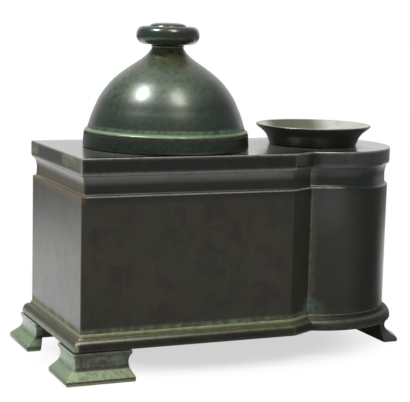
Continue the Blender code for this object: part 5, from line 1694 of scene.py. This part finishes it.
def light_studio():
    """World: white to the camera, a dim room with a white back to the gloss, one plain level to all else."""
    world = bpy.data.worlds.new("white_tent")
    bpy.context.scene.world = world
    world.use_nodes = True
    graph = Graph(world.node_tree)
    background = world.node_tree.nodes["Background"]
    seen = graph.node("ShaderNodeLightPath", output="Is Camera Ray")
    gloss = graph.other_output(seen, "Is Glossy Ray")
    through = graph.other_output(seen, "Is Transmission Ray")
    way = graph.node("ShaderNodeTexCoord", output="Generated")
    up = graph.node("ShaderNodeSeparateXYZ", sockets={"Vector": way}, output="Z")
    back = graph.step(towards(graph, way, *BACK_WAY), 0.62, 0.92)
    high = graph.step(up, 0.45, 1.0)
    right = graph.step(towards(graph, way, *RIGHT_WAY), 0.35, 0.92)
    room = ROOM_LEVEL + high * HIGH_LEVEL - right * DIM_RIGHT
    room = room + back * (BACK_LEVEL - room)
    level = PLAIN_LEVEL + gloss * (room - PLAIN_LEVEL)
    level = level + through * (1.0 - level)
    level = level + seen * (1.0 - level)
    graph.feed(level, background.inputs["Strength"])
    background.inputs["Color"].default_value = (*WHITE, 1.0)
    add_soft_box("key_soft_box", (-87.9, 57.5), (0.17, 0.17), 15.5, 3.6, WHITE)
    add_soft_box("warm_soft_box", (7.5, 57.5), (0.23, 0.34), 7.6, 2.8, WARM_WHITE)


def white_sweep():
    """White paper that keeps a pale shadow near the object and runs into white further away; in reflections
    it glows at painted levels, brightest to the left and behind, with a painted shadow in front of the
    object.
    """
    paper = Finish("white_sweep_paper")
    fibre = paper.noise(1.5, 3.0, 0.6)
    paper.put("Base Color", paper.colour_mix(fibre * 0.2, (0.93, 0.93, 0.93, 1.0), (0.88, 0.88, 0.88, 1.0)))
    paper.put("Roughness", 0.9)
    paper.put("Specular IOR Level", 0.0)
    seen = paper.node("ShaderNodeLightPath", output="Is Camera Ray")
    gloss = paper.other_output(seen, "Is Glossy Ray")
    away = paper.vector("LENGTH", paper.place, output="Value")
    way = paper.vector("NORMALIZE", paper.place)
    out = paper.vector("SUBTRACT", paper.place, (0.0, 4 * MM, 0.0))
    out = paper.vector("LENGTH", paper.vector("MULTIPLY", out, (0.62, 1.0, 1.0)), output="Value")
    far = paper.step(out, SHADOW_REACH, WHITE_FROM)
    clear = paper.step(away, 0.06, 0.11)
    front = paper.step(towards(paper, way, *FLOOR_FRONT), -0.3, 0.7)
    right = paper.step(towards(paper, way, *FLOOR_RIGHT), 0.80, 1.0)
    shaded = front * paper.step(away, 0.125, 0.19, 1.0, 0.0)
    beside = (1.95 - 1.05 * front) * (1.0 - 0.8 * right) * (1.0 - 0.65 * shaded)
    beyond = 0.36 + 0.15 * right
    shine = beside + paper.step(away, 0.27, 0.49) * (beyond - beside)
    lift = seen * (SHADOW_LIFT + (1.0 - SHADOW_LIFT) * far) + gloss * clear
    glow = paper.node("ShaderNodeEmission", sockets={"Strength": 1.0 + gloss * (shine - 1.0)})
    shown = paper.node("ShaderNodeMixShader", sockets={0: lift, 2: glow})
    paper.tree.links.new(paper.shader.outputs[0], shown.socket.node.inputs[1])
    paper.tree.links.new(shown.socket, paper.tree.nodes["Material Output"].inputs["Surface"])
    return paper.material


def lay_floor():
    bm = bmesh.new()
    bmesh.ops.create_grid(bm, x_segments=2, y_segments=2, size=FLOOR_SIZE / 2)
    floor = linked("white_sweep", cleaned("white_sweep", bm))
    floor.data.materials.append(white_sweep())


def hang_flag():
    """Dark card at the right of the object that only reflections see."""
    places = ((FLAG_FRONT, 0.0), (FLAG_BACK, 0.0), (FLAG_BACK, FLAG_HEIGHT), (FLAG_FRONT, FLAG_HEIGHT))
    mesh = bpy.data.meshes.new("dark_flag")
    mesh.from_pydata([(FLAG_X, y, z) for y, z in places], [], [(0, 1, 2, 3)])
    card = linked("dark_flag", mesh)
    finish = Finish("dark_flag_card")
    finish.put("Base Color", tone(96, 96, 96))
    finish.put("Roughness", 0.9)
    card.data.materials.append(finish.material)
    card.visible_camera = card.visible_diffuse = card.visible_shadow = card.visible_transmission = False


def build_looks():
    turning = turning_tree()
    screws = screw_tree()
    steel = aged_steel()
    feet = foot_patina()
    rings = dull_brass("dull_turned_brass", (1.0, 1.0, 1.0))
    make_case_wall(wall_patina())
    make_slab(slab_patina())
    make_moulding(moulding_patina())
    make_corner_foot("front_left_foot", "foot_front_left", -1, FRONT_FOOT_LENGTH, FRONT_FOOT_RETURN, feet)
    make_corner_foot("back_left_foot", "foot_back_left", 1, BACK_FOOT_LENGTH, BACK_FOOT_RETURN, feet)
    make_round_foot(feet)
    make_lid(turning, lid_patina())
    make_knob(turning, knob_patina())
    make_cup(turning, cup_patina())
    make_glass(turning, pressed_glass())
    for node, inner, axis_x, softness, material, slot in (
        ("lid_locating_ring", LOCATING_RING_INNER, LID_X, LOCATING_RING_EDGE, rings, "brass_hidden"),
        ("ink_seat_washer", SEAT_INNER, LID_X, RING_EDGE, seat_leather(), "leather"),
        ("pen_cup_ring_nut", NECK_HOLE_RADIUS, CUP_X, RING_EDGE, rings, "brass_hidden"),
    ):
        make_ring(turning, node, inner, axis_x, softness, material)
    make_cork(turning, well_cork())
    for name, prefix, seed in SCREW_GROUPS:
        make_screws(screws, name, prefix, seed, steel)
    kept = {"base_plate": plate_patina(), "pen_well_tube": rings}
    for node, material in {**kept, "lid_knob_washer": steel, "lid_knob_nut": steel}.items():
        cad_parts[node].data.materials.clear()
        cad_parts[node].data.materials.append(material)


bpy.context.scene.view_settings.view_transform = "Standard"
add_camera()
light_studio()
lay_floor()
hang_flag()
build_looks()
